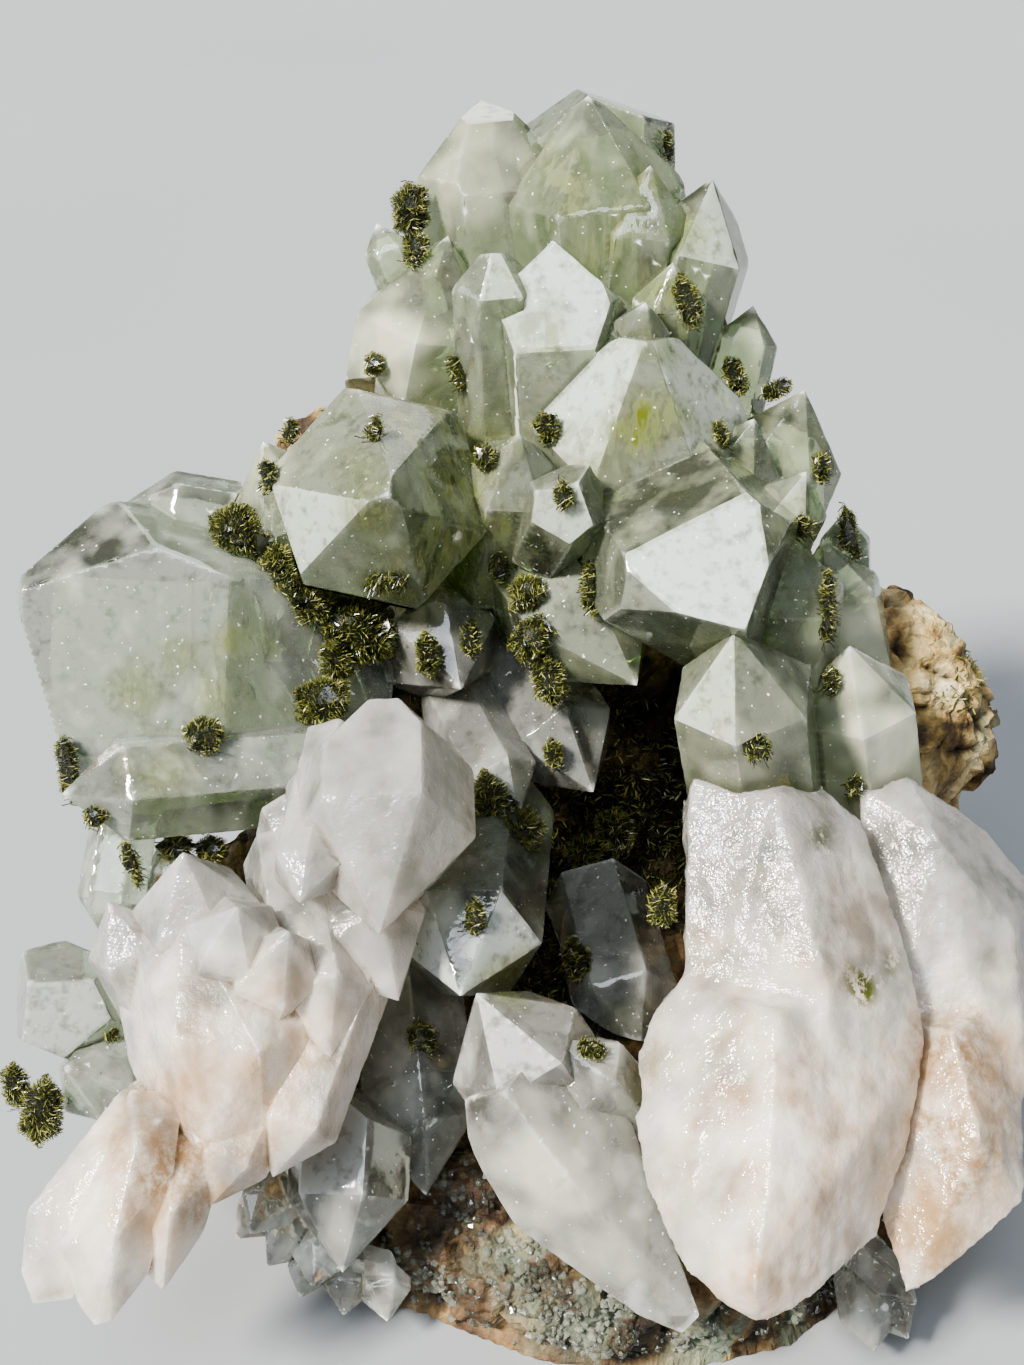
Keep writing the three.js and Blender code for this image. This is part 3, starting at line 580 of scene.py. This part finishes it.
# %% Build the crystal clusters
CRYSTALS = [  # node, name of the piece, material, record's slot, longest edge and wear in millimetres
    ("green_quartz_cluster", "green_crystals", green_quartz, "green_quartz", 1.0, 0.3),
    ("clear_quartz_left", "clear_crystals_left", pale_quartz, "clear_quartz", 1.0, 0.35),
    ("front_quartz_cluster", "front_crystals", hazy_quartz, "clear_quartz", 1.0, 0.4),
    ("centre_quartz_crystal", "centre_crystal", pale_quartz, "clear_quartz", 0.8, 0.25),
    ("left_edge_quartz", "left_edge_crystals", pale_quartz, "clear_quartz", 0.8, 0.35),
    ("hollow_quartz_upper", "hollow_crystals_upper", grey_quartz, "grey_quartz", 1.0, 0.3),
    ("hollow_quartz_lower", "hollow_crystals_lower", grey_quartz, "grey_quartz", 1.0, 0.3),
    ("grey_quartz_crystal", "grey_crystals", grey_quartz, "grey_quartz", 0.8, 0.35),
    ("small_quartz_left", "small_crystals_left", hazy_quartz, "grey_quartz", 0.6, 0.5),
    ("small_quartz_right", "small_crystals_right", hazy_quartz, "grey_quartz", 0.6, 0.5),
    ("milky_quartz_left", "milky_crystals_left", milky_quartz, "milky_quartz", 0.9, 0.3),
]
CLOUD_SIZE = 6  # millimetres
CLOUD_LAYERS = 4


def link_piece(name, bm, material):
    """Turns a bmesh into an object of the scene with one material."""
    mesh = bpy.data.meshes.new(name)
    bm.to_mesh(mesh)
    bm.free()
    mesh.materials.append(material)
    obj = bpy.data.objects.new(name, mesh)
    bpy.context.scene.collection.objects.link(obj)
    return obj


def paint_quartz(mesh):
    """Writes what the quartz materials read: clouds, veils, stains, warm and hazy parts."""
    paint_clouds(mesh, CLOUD_SIZE, CLOUD_LAYERS)
    paint_spots(mesh, "green_veil", GREEN_VEILS)
    paint_spots(mesh, "orange_stain", ORANGE_STAINS)
    paint_spots(mesh, "warm", WARM_PARTS)
    paint_spots(mesh, "haze", HAZY_PARTS)


for seed, (node, name, material, slot, longest, wear) in enumerate(CRYSTALS):
    bm = fine_copy(node, longest, seed)
    wear_edges(bm, wear, seed)
    piece = link_piece(name, bm, material)
    paint_quartz(piece.data)
    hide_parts(node)
    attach(piece, "root")
    print(name, len(piece.data.polygons), "triangles")

# %% [markdown]
# ## Milky blades
# The two great blades at the lower right have no crisp faces: they are rounded, with low steps where
# thin layers have broken away, and a chipped rim. A worn copy as above would keep their faces flat. So
# their solids are remeshed into an even grid, smoothed a little, and cut back by stepped noise.

# %% Rounded copies
EVENING = 0.5  # how far smoothing moves a point towards its neighbours


def rounded_copy(name, node, grid, rounds):
    """An even copy of a solid on a grid of that many millimetres, smoothed for some rounds."""
    obj = bpy.data.objects.new(name, nodes[node].data.copy())
    bpy.context.scene.collection.objects.link(obj)
    remesh = obj.modifiers.new("even grid", "REMESH")
    remesh.mode = "VOXEL"
    remesh.voxel_size = grid * MM
    smooth = obj.modifiers.new("rounding", "SMOOTH")
    smooth.factor = EVENING
    smooth.iterations = rounds
    depsgraph = bpy.context.evaluated_depsgraph_get()
    mesh = bpy.data.meshes.new_from_object(obj.evaluated_get(depsgraph))
    obj.modifiers.clear()
    obj.data = mesh
    return obj


def cut_back(obj, depth_at):
    """Moves each point of a mesh inwards by the millimetres that depth_at gives for its place and normal.

    It then evens the points out once, and returns the depths."""
    bm = bmesh.new()
    bm.from_mesh(obj.data)
    bm.normal_update()
    depths = [depth_at(vert.co / MM, vert.normal) for vert in bm.verts]
    for vert, depth in zip(bm.verts, depths):
        vert.co -= vert.normal * (depth * MM)
    bmesh.ops.smooth_vert(bm, verts=bm.verts, factor=EVENING,
                          use_axis_x=True, use_axis_y=True, use_axis_z=True)
    bm.to_mesh(obj.data)
    bm.free()
    for polygon in obj.data.polygons:
        polygon.use_smooth = True
    return depths


def steps(place, depth, size, count):
    """Noise cut into level steps: how deep it is in millimetres, how wide a step is, and their number."""
    return depth * (math.floor((0.5 + 0.5 * noise.noise(place / size)) * count) / count)


print("each mesh is evened by", EVENING, "a round")

# %% Build the rounded blades
BLADES = [("milky_blade_right", "great_milky_blade"), ("milky_blade_edge", "edge_milky_blade")]
BLADE_GRID = 0.6  # millimetres
BLADE_ROUNDS = 7
LAYERS = (0.9, 8, 5)  # depth and width in millimetres, and number of steps
SMALL_LAYERS = (0.35, 3.2, 4)
RIM_CHIPS = (1.2, 3, 3)
RIM_TURN = 3  # a face counts as rim where less than a third of its normal points at the viewer
BLADE_STRETCH = (1.0, 0.6, 0.45)  # layers run along the blade
BLADE_GRAIN = 0.06  # depth and size of the fine grain in millimetres
BLADE_GRAIN_SIZE = 1.1
FACE_OUT = Vector(OUT)


def blade_depth(place, normal):
    """How far a place on a blade is cut back, in millimetres."""
    along = Vector([value * share for value, share in zip(place, BLADE_STRETCH)])
    rim = max(0.0, 1 - RIM_TURN * abs(normal.dot(FACE_OUT)))
    grain = BLADE_GRAIN * (1 + noise.noise(place / BLADE_GRAIN_SIZE))
    return steps(along, *LAYERS) + steps(place, *SMALL_LAYERS) + rim * steps(place, *RIM_CHIPS) + grain


for node, name in BLADES:
    piece = rounded_copy(name, node, BLADE_GRID, BLADE_ROUNDS)
    cut_back(piece, blade_depth)
    piece.data.materials.clear()
    piece.data.materials.append(milky_quartz)
    paint_quartz(piece.data)
    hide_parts(node)
    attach(piece, "root")
    print(name, len(piece.data.polygons), "faces")

# %% [markdown]
# ## Rock
# The matrix is a crumbly rock: cream and tan on the shoulders, rust brown at the foot with a band of
# grey-green grains, and almost black in the hollow, from dark epidote grains and painted shade. Its
# broad shape comes from the solid. It breaks into angular blocks of several sizes, with ledges and
# cracks between them. All of these are cut inwards, so that the rock never grows past the solid.

# %% Rock material
ROCK_GRAIN = 1.0526  # sizes in millimetres
ROCK_FINE = 0.6667
ROCK_FINE_DEPTH = 0.4
ROCK_IOR = 1.5

rock = new_material("crumbly brown rock")
tree = rock.node_tree
place = add_node(tree, "ShaderNodeTexCoord").outputs["Object"]
patches = add_node(tree, "ShaderNodeAttribute", attribute_name="cloud")
brown = add_node(tree, "ShaderNodeValToRGB", {}, {"Fac": patches.outputs["Fac"]})
set_ramp(brown, [(0.2, "#35281c"), (0.42, "#664e35"), (0.6, "#8d7049"), (0.82, "#b89c6e")])
cream = add_node(tree, "ShaderNodeValToRGB", {}, {"Fac": patches.outputs["Fac"]})
set_ramp(cream, [(0.15, "#6e5530"), (0.35, "#b0935c"), (0.6, "#d4bd88"), (0.85, "#e9dcb6")])
pale_part = broken_spot(tree, "pale_rock", patches, 0.1, 0.4)
green_part = broken_spot(tree, "green_rock", patches, 0.36, 0.52)
rock_colour = blend(tree, pale_part, brown.outputs["Color"], cream.outputs["Color"])
rock_colour = blend(tree, green_part, rock_colour, "#6c7766")
# every grain has its own tone
grains = add_node(tree, "ShaderNodeTexVoronoi", {"Scale": scale_for(ROCK_GRAIN)}, {"Vector": place})
grain_tone = add_node(tree, "ShaderNodeMapRange", {"To Min": 0.55, "To Max": 1.35},
                      {"Value": grains.outputs["Color"]})
grainy = add_node(tree, "ShaderNodeVectorMath", {},
                  {"Vector": rock_colour, "Vector_001": grain_tone.outputs["Result"]}, operation="MULTIPLY")
# dark moss-like epidote grains with painted shade in the hollow, and painted shade in the pits
moss_and_shade = add_node(tree, "ShaderNodeValToRGB", {}, {"Fac": grains.outputs["Color"]})
set_ramp(moss_and_shade, [(0.2, "#0d0c09"), (0.6, "#1c1a11"), (0.8, "#34361a"), (1.0, "#595b2a")])
dark_rock_and_shade_part = add_node(tree, "ShaderNodeAttribute", attribute_name="dark_rock_and_hollow_shade").outputs["Fac"]
rock_colour = blend(tree, dark_rock_and_shade_part, grainy.outputs["Vector"], moss_and_shade.outputs["Color"])
pit_shade = add_node(tree, "ShaderNodeAttribute", attribute_name="pit_shade").outputs["Fac"]
rock_colour = blend(tree, pit_shade, rock_colour, "#17120d")
# a gritty skin, dull but for a few glinting grains
grit = add_node(tree, "ShaderNodeTexNoise", {"Scale": scale_for(ROCK_FINE), "Detail": 2, "Roughness": 0.7},
                {"Vector": place})
rock_bump = add_node(tree, "ShaderNodeBump", {"Strength": 0.8, "Distance": ROCK_FINE_DEPTH * MM},
                     {"Height": grit.outputs["Fac"]})
rock_shine = add_node(tree, "ShaderNodeMapRange",
                      {"From Min": 0.3, "From Max": 0.8, "To Min": 0.95, "To Max": 0.35},
                      {"Value": grit.outputs["Fac"]})
rock_shader = add_node(tree, "ShaderNodeBsdfPrincipled", {"IOR": ROCK_IOR},
                       {"Base Color": rock_colour, "Roughness": rock_shine.outputs["Result"],
                        "Normal": rock_bump.outputs["Normal"]})
add_node(tree, "ShaderNodeOutputMaterial", {}, {"Surface": rock_shader.outputs["BSDF"]})
print("rock material:", rock.name)

# %% The rock's depths
BLOCKS = [(8, 2.4), (3.8, 1.5), (1.9, 0.5)]  # size of the blocks and how far they are cut, in millimetres
BLOCK_LEVEL = 0.8  # shares of that cut: the level of a block
SEAM_DEPTH = 0.4  # and the seam round it
SEAM_WIDTH = 0.12  # as a share of a block's size
LEVEL_SEED = 7  # another number gives the blocks other levels
LEDGES = (1.0, 7, 4)  # depth and width in millimetres, and number of steps
CRACK_DEPTH = 1.8  # millimetres, as is the next
CRACK_SPACING = 9
CRACK_SHARPNESS = 7  # a higher number makes narrower cracks
CRACK_SHIFT = Vector((5, 1, 2))
FLAT_FOOT = 0.4  # millimetres above the ground that stay flat


def block(place):
    """From 0 to 1: space is broken into angular blocks, each at its own level, with a seam around it."""
    distances, points = noise.voronoi(place)
    seam = max(0.0, 1 - (distances[1] - distances[0]) / SEAM_WIDTH)
    level = 0.5 + 0.5 * noise.cell(points[0] * LEVEL_SEED)
    return min(1.0, BLOCK_LEVEL * level + SEAM_DEPTH * seam)


def rock_depth(place, normal):
    """How far a place on the rock is cut back, in millimetres."""
    if place.z < FLAT_FOOT:
        return 0.0
    depth = steps(place, *LEDGES)
    for size, most in BLOCKS:
        depth += most * block(place / size)
    crack = 1 - abs(noise.noise(place / CRACK_SPACING + CRACK_SHIFT)) * CRACK_SHARPNESS
    return depth + CRACK_DEPTH * max(0.0, crack)


deepest = LEDGES[0] + sum(most for _, most in BLOCKS) + CRACK_DEPTH
print("the deepest cut could be", round(deepest, 1), "mm")

# %% Build the rock
ROCK_GRID = 0.9  # millimetres
ROCK_ROUNDS = 3
ROCK_CLOUD = 7  # millimetres
ROCK_CLOUD_LAYERS = 6
PIT_SHADE_DEPTH = (3.0, 5.2)  # millimetres of cut at which the painted shade in a pit begins and is darkest

rough_rock = rounded_copy("rock", "rock_matrix", ROCK_GRID, ROCK_ROUNDS)
depths = np.array(cut_back(rough_rock, rock_depth))
mesh = rough_rock.data
for vertex in mesh.vertices:
    vertex.co.z = max(vertex.co.z, 0.0)
for polygon in mesh.polygons:
    polygon.use_smooth = False  # every grain has its own flat face
mesh.materials.clear()
mesh.materials.append(rock)
shallow, deep = PIT_SHADE_DEPTH
# painted shade: the deeper the rock is cut back, the darker
pit_shade_share = np.clip((depths - shallow) / (deep - shallow), 0, 1)
attribute = mesh.attributes.new("pit_shade", "FLOAT", "POINT")
attribute.data.foreach_set("value", pit_shade_share.astype(np.float32))
paint_clouds(mesh, ROCK_CLOUD, ROCK_CLOUD_LAYERS)
paint_spots(mesh, "dark_rock_and_hollow_shade", DARK_ROCK_AND_HOLLOW_SHADE)
paint_spots(mesh, "green_rock", GREEN_ROCK)
paint_spots(mesh, "pale_rock", PALE_ROCK)
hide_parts("rock_matrix")
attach(rough_rock, "root")
print("rock", len(mesh.polygons), "faces, deepest cut", round(depths.max(), 1), "mm")

# %% [markdown]
# ## Epidote
# Each spray is a bristle of short glossy prisms, dark olive with yellow-green glints. Epidote bends
# light by 1.74, more than quartz, so the needles glitter. Modelled one by one they would take days, and
# a bump would not give their ragged outline. Geometry Nodes scatter points over the spray's solid and
# set a needle on each, with its tip near the solid's surface and its foot inside. A dark core fills the
# middle, so that no light shows through the bristles; its almost black colour is painted shade. Needles
# that are sunk deeper get darker tones, which is painted shade as well.

# %% Epidote materials
EPIDOTE_IOR = 1.74


def epidote_material(name, stops, roughness):
    """Opaque crystal whose tone is set for each needle by the attribute that its tree writes."""
    material = new_material(name)
    tree = material.node_tree
    tone = add_node(tree, "ShaderNodeAttribute", attribute_name="tone")
    colour = add_node(tree, "ShaderNodeValToRGB", {}, {"Fac": tone.outputs["Fac"]})
    set_ramp(colour, stops)
    shader = add_node(tree, "ShaderNodeBsdfPrincipled", {"IOR": EPIDOTE_IOR, "Roughness": roughness},
                      {"Base Color": colour.outputs["Color"]})
    add_node(tree, "ShaderNodeOutputMaterial", {}, {"Surface": shader.outputs["BSDF"]})
    return material


# bottle-dark olive with a few bright yellow-green needles
epidote = epidote_material("olive epidote",
                           [(0.05, "#181c0d"), (0.4, "#3a401b"), (0.75, "#6c7030"), (1.0, "#bbb970")], 0.28)
# painted shade: dull and almost black between the feet of the needles
epidote_shade_core = epidote_material("dark epidote shade", [(0.0, "#14170a"), (1.0, "#2e3216")], 0.8)
print("epidote materials:", epidote.name, "and", epidote_shade_core.name)

# %% One small crystal
def crystal_shape(tree, sides, waist, point):
    """A prism one unit high with a pointed end. Its tip lies at zero, waist is its width below the point."""
    prism = add_node(tree, "GeometryNodeMeshCone",
                     {"Vertices": sides, "Radius Top": waist / 2, "Radius Bottom": 0.5, "Depth": 1 - point})
    end = add_node(tree, "GeometryNodeMeshCone",
                   {"Vertices": sides, "Radius Top": 0.0, "Radius Bottom": waist / 2, "Depth": point})
    low = add_node(tree, "GeometryNodeTransform", {"Translation": (0, 0, -1)},
                   {"Geometry": prism.outputs["Mesh"]})
    high = add_node(tree, "GeometryNodeTransform", {"Translation": (0, 0, -point)},
                    {"Geometry": end.outputs["Mesh"]})
    joined = add_node(tree, "GeometryNodeJoinGeometry")
    tree.links.new(low.outputs["Geometry"], joined.inputs["Geometry"])
    tree.links.new(high.outputs["Geometry"], joined.inputs["Geometry"])
    return joined.outputs["Geometry"]


NEEDLE_SHAPE = (4, 0.8, 0.2, 0.5)  # sides, waist and point of a needle, and how far needles lean apart
print("a needle has", NEEDLE_SHAPE[0], "sides")

# %% Scatter small crystals over a surface
DENSEST = 2.0e7  # crystals a square metre, before those too close together are dropped
TOP_SPREAD = 1.3  # they lean a little more upwards than downwards
SMALLEST = (0.5, 0.5, 0.6)  # shares of the width, width and length
LARGEST = (1.5, 1.5, 1.1)


def random_vector(tree, seed, low, high):
    """A vector between two others, drawn for each point."""
    return add_node(tree, "FunctionNodeRandomValue", {"Min": low, "Max": high}, {"Seed": seed},
                    data_type="FLOAT_VECTOR").outputs["Value"]


def sink_and_shade(tree, given, crystals):
    """Sinks each crystal by its own chance, which is also its tone: pale ones stand out and dark ones are
    sunk between them, so the tone is partly random and partly painted shade.
    """
    chance = pick(add_node(tree, "FunctionNodeRandomValue", {}, {"Seed": given["Seed"]},
                           data_type="FLOAT").outputs, "Value_001")
    depth = add_node(tree, "ShaderNodeMath", {"Value": 1.0}, {"Value_001": chance}, operation="SUBTRACT")
    sunk_by = add_node(tree, "ShaderNodeMath", {},
                       {"Value": depth.outputs["Value"], "Value_001": given["Sink"]}, operation="MULTIPLY")
    lift = add_node(tree, "ShaderNodeMath", {},
                    {"Value": given["Rise"], "Value_001": sunk_by.outputs["Value"]}, operation="SUBTRACT")
    along = add_node(tree, "ShaderNodeCombineXYZ", {}, {"Z": lift.outputs["Value"]})
    sunk = add_node(tree, "GeometryNodeTranslateInstances", {},
                    {"Instances": crystals, "Translation": along.outputs["Vector"]})
    # the chance is also the tone, so deeper needles are darker: painted shade
    toned = add_node(tree, "GeometryNodeStoreNamedAttribute", {"Name": "tone"},
                     {"Geometry": sunk.outputs["Instances"], "Value": chance},
                     data_type="FLOAT", domain="INSTANCE")
    return toned.outputs["Geometry"]


def bristle_tree(name, material, sides, waist, point, spread, where=None):
    """Geometry Nodes that scatter small crystals over a mesh, densest where its attribute is 1."""
    tree = bpy.data.node_groups.new(name, "GeometryNodeTree")
    sockets = tree.interface
    sockets.new_socket("Geometry", in_out="INPUT", socket_type="NodeSocketGeometry")
    for socket in ("Length", "Width", "Spacing", "Rise", "Sink"):
        sockets.new_socket(socket, in_out="INPUT", socket_type="NodeSocketFloat")
    sockets.new_socket("Seed", in_out="INPUT", socket_type="NodeSocketInt")
    sockets.new_socket("Geometry", in_out="OUTPUT", socket_type="NodeSocketGeometry")
    given = add_node(tree, "NodeGroupInput").outputs
    spots = add_node(tree, "GeometryNodeDistributePointsOnFaces", {"Density Max": DENSEST},
                     {"Mesh": given["Geometry"], "Distance Min": given["Spacing"], "Seed": given["Seed"]},
                     distribute_method="POISSON")
    if where:
        chosen = add_node(tree, "GeometryNodeInputNamedAttribute", {"Name": where}, data_type="FLOAT")
        tree.links.new(chosen.outputs["Attribute"], pick(spots.inputs, "Density Factor"))
    lean = random_vector(tree, given["Seed"], (-spread, -spread, -spread),
                         (spread, spread, TOP_SPREAD * spread))
    heading = add_node(tree, "ShaderNodeVectorMath", {},
                       {"Vector": spots.outputs["Normal"], "Vector_001": lean}, operation="ADD")
    turn = add_node(tree, "FunctionNodeAlignRotationToVector", {}, {"Vector": heading.outputs["Vector"]},
                    axis="Z")
    stretch = add_node(tree, "ShaderNodeCombineXYZ", {},
                       {"X": given["Width"], "Y": given["Width"], "Z": given["Length"]})
    share = random_vector(tree, given["Seed"], SMALLEST, LARGEST)
    size = add_node(tree, "ShaderNodeVectorMath", {},
                    {"Vector": stretch.outputs["Vector"], "Vector_001": share}, operation="MULTIPLY")
    placed = add_node(tree, "GeometryNodeInstanceOnPoints", {},
                      {"Points": spots.outputs["Points"],
                       "Instance": crystal_shape(tree, sides, waist, point),
                       "Rotation": turn.outputs["Rotation"], "Scale": size.outputs["Vector"]})
    real = add_node(tree, "GeometryNodeRealizeInstances", {},
                    {"Geometry": sink_and_shade(tree, given, placed.outputs["Instances"])})
    dressed = add_node(tree, "GeometryNodeSetMaterial", {"Material": material},
                       {"Geometry": real.outputs["Geometry"]})
    add_node(tree, "NodeGroupOutput", {}, {"Geometry": dressed.outputs["Geometry"]})
    return tree


def bristled(name, source, tree, values):
    """An object whose mesh is what the tree makes on a source mesh. Lengths in values are in metres."""
    obj = bpy.data.objects.new(name, source)
    bpy.context.scene.collection.objects.link(obj)
    modifier = obj.modifiers.new("bristles", "NODES")
    modifier.node_group = tree
    for item in tree.interface.items_tree:
        if item.in_out == "INPUT" and item.name in values:
            modifier[item.identifier] = values[item.name]
    depsgraph = bpy.context.evaluated_depsgraph_get()
    mesh = bpy.data.meshes.new_from_object(obj.evaluated_get(depsgraph))
    obj.modifiers.clear()
    obj.data = mesh
    return obj


NEEDLES = bristle_tree("needles", epidote, *NEEDLE_SHAPE)
print("needle inputs:", [item.name for item in NEEDLES.interface.items_tree if item.in_out == "INPUT"])

# %% Build the sprays
NEEDLE_LENGTH = 1.4  # millimetres, as are the two below
NEEDLE_WIDTH = 0.12
NEEDLE_SPACING = 0.23
NEEDLE_MOST = 0.55  # a needle is never longer than this share of the spray's least side
NEEDLE_SINK = 0.45  # how far the deepest needle is sunk, as a share of its length
NEEDLE_RISE = 0.2  # and how far the highest one stands out of the solid
CORE_DEPTH = 0.13  # how far the core lies inside the solid, as a share of its least side
THIN_CORE_DEPTH = 0.5  # the least depth in millimetres, so that the needles of a thin spray hide its core
MOST_CORE_DEPTH = 0.3  # but never more than this share
FIRST_SEED = 11


def shade_core(name, least):
    """A mesh of a spray's solid shrunk to its middle, which is painted almost black as shade. least is its
    least side in millimetres.
    """
    core = bmesh.new()
    core.from_mesh(nodes[name].data)
    bmesh.ops.remove_doubles(core, verts=core.verts, dist=WELD * MM)
    bmesh.ops.subdivide_edges(core, edges=core.edges, cuts=1, use_grid_fill=True)
    core.normal_update()
    depth = min(max(CORE_DEPTH * least, THIN_CORE_DEPTH), MOST_CORE_DEPTH * least)
    for vert in core.verts:
        vert.co -= vert.normal * (depth * MM)
    mesh = bpy.data.meshes.new("core")
    core.to_mesh(mesh)
    core.free()
    return mesh


def add_core(mesh, core):
    """Adds a core to a mesh of needles, with the second of the two materials."""
    bm = bmesh.new()
    bm.from_mesh(mesh)
    first = len(bm.faces)
    bm.from_mesh(core)
    bm.faces.ensure_lookup_table()
    for face in bm.faces[first:]:
        face.material_index = 1
    bm.to_mesh(mesh)
    bm.free()
    bpy.data.meshes.remove(core)
    mesh.materials.clear()
    mesh.materials.append(epidote)
    mesh.materials.append(epidote_shade_core)


sprays = sorted(name for name in nodes if name.startswith("epidote"))
total = 0
for seed, name in enumerate(sprays):
    low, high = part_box(name)
    least = min(h - l for l, h in zip(low, high)) / MM
    values = {"Length": min(NEEDLE_LENGTH, NEEDLE_MOST * least) * MM, "Width": NEEDLE_WIDTH * MM,
              "Spacing": NEEDLE_SPACING * MM, "Rise": NEEDLE_RISE, "Sink": NEEDLE_SINK,
              "Seed": seed + FIRST_SEED}
    needles = bristled("needles_" + name, nodes[name].data.copy(), NEEDLES, values)
    # the core's almost black colour is painted shade between the needles
    add_core(needles.data, shade_core(name, least))
    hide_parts(name)
    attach(needles, "root")
    total += len(needles.data.polygons)
print("sprays:", len(sprays), "faces:", total)

# %% [markdown]
# ## Crust on the rock
# Short epidote needles cover the rock in the hollow, and a crust of small clear quartz points covers its
# foot. Both are scattered over the rough rock by the same Geometry Nodes, where their spots are painted.

# %% Build the crust
HOLLOW_NEEDLES = [  # across, up, radius in millimetres, strength
    (16, -20, 14, 1.0), (10, -32, 12, 1.0), (8, -6, 10, 1.0), (2, -46, 8, 0.8), (22, -30, 8, 1.0),
    (-12, 6, 14, 0.8), (66, 0, 4, 0.3),
]
FOOT_POINTS = [
    (2, -78, 6, 1.0), (10, -86, 8, 1.0), (24, -90, 7, 0.8), (-20, -80, 7, 1.0), (-28, -76, 6, 1.0),
    (44, -88, 8, 0.9), (-12, -84, 8, 0.8), (34, -92, 6, 0.6), (-6, -68, 7, 0.8),
]
CRUSTS = [  # name, material, slot, spots, shape as for needles, and length, width and spacing in millimetres
    ("hollow_needles", epidote, "epidote", HOLLOW_NEEDLES, (4, 0.8, 0.2, 0.8), (2.6, 0.26, 0.45)),
    ("foot_points", crust_quartz, "clear_quartz", FOOT_POINTS, (6, 1.0, 0.45, 0.5), (1.7, 1.1, 0.9)),
]
CRUST_RISE = 0.7  # shares of a crystal's length, as for the needles
CRUST_SINK = 0.4
CRUST_SEED = 5
CRUST_FOOT = 2.2  # millimetres of bare rock above the ground, so that no crystal reaches below it
for name, material, slot, spots, shape, (length, width, spacing) in CRUSTS:
    source = rough_rock.data.copy()
    paint_spots(source, name, spots, above=CRUST_FOOT)
    crust_tree = bristle_tree(name, material, *shape, where=name)
    values = {"Length": length * MM, "Width": width * MM, "Spacing": spacing * MM, "Rise": CRUST_RISE,
              "Sink": CRUST_SINK, "Seed": CRUST_SEED}
    crust = bristled(name, source, crust_tree, values)
    crust.data.materials.clear()
    crust.data.materials.append(material)
    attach(crust, "root")
    print(name, len(crust.data.polygons), "faces")

# %% [markdown]
# ## Floor and light
# A pale floor and soft lamps. A wide cool softbox above the camera makes the bluish reflections on the
# crystal faces, a key lamp from the upper left gives the shadows, and weak lamps from the left and the
# back open the sides. They are far off, like windows of a large room, so that the floor is lit evenly.
# The photograph has deep shadows beside bright faces, so the picture gets a little more contrast.

# %% Floor
FLOOR_REACH = 20.0  # metres
FLOOR_MOTTLE = 250  # millimetres

floor_mesh = bpy.data.meshes.new("floor")
corners = [(x * FLOOR_REACH, y * FLOOR_REACH, 0) for x, y in ((-1, -1), (1, -1), (1, 1), (-1, 1))]
floor_mesh.from_pydata(corners, [], [(0, 1, 2, 3)])
floor = bpy.data.objects.new("floor", floor_mesh)
bpy.context.scene.collection.objects.link(floor)
paper = new_material("pale studio floor")
tree = paper.node_tree
place = add_node(tree, "ShaderNodeTexCoord").outputs["Object"]
mottle = add_node(tree, "ShaderNodeTexNoise", {"Scale": scale_for(FLOOR_MOTTLE), "Detail": 0},
                  {"Vector": place})
pale = add_node(tree, "ShaderNodeValToRGB", {}, {"Fac": mottle.outputs["Fac"]})
set_ramp(pale, [(0.3, "#9da1a4"), (0.7, "#a1a5a8")])
paper_shader = add_node(tree, "ShaderNodeBsdfPrincipled", {"Roughness": 0.8},
                        {"Base Color": pale.outputs["Color"]})
add_node(tree, "ShaderNodeOutputMaterial", {}, {"Surface": paper_shader.outputs["BSDF"]})
floor_mesh.materials.append(paper)
print("floor reaches", FLOOR_REACH, "m")

# %% Lamps
LAMPS = [  # name, turn to the left, height and width in degrees, strength in watts a square metre, colour
    ("key softbox", 50, 44, 11, 7.5, "#fff9f0"),
    ("sky softbox", 14, 54, 26, 1.4, "#e8f0fb"),
    ("left softbox", 92, 14, 26, 0.7, "#eef4ff"),
    ("back softbox", 190, 40, 40, 1.0, "#ffffff"),
]
ROOM_LIGHT = 0.22  # strength of the light from all round

for name, turn, height, width, strength, code in LAMPS:
    turned, raised = math.radians(turn), math.radians(height)
    level = math.cos(raised)
    towards = Vector((-math.sin(turned) * level, -math.cos(turned) * level, math.sin(raised)))
    data = bpy.data.lights.new(name, "SUN")
    data.angle = math.radians(width)
    data.energy = strength
    data.color = linear(code)[:3]
    lamp = bpy.data.objects.new(name, data)
    lamp.location = towards
    lamp.rotation_euler = towards.to_track_quat("Z", "Y").to_euler()
    bpy.context.scene.collection.objects.link(lamp)

world = bpy.data.worlds.new("soft room")
world.use_nodes = True
background = world.node_tree.nodes["Background"]
background.inputs["Color"].default_value = linear("#cfd8e2")
background.inputs["Strength"].default_value = ROOM_LIGHT
bpy.context.scene.world = world
bpy.context.scene.view_settings.look = "AgX - Medium High Contrast"
print("lamps:", len(LAMPS))
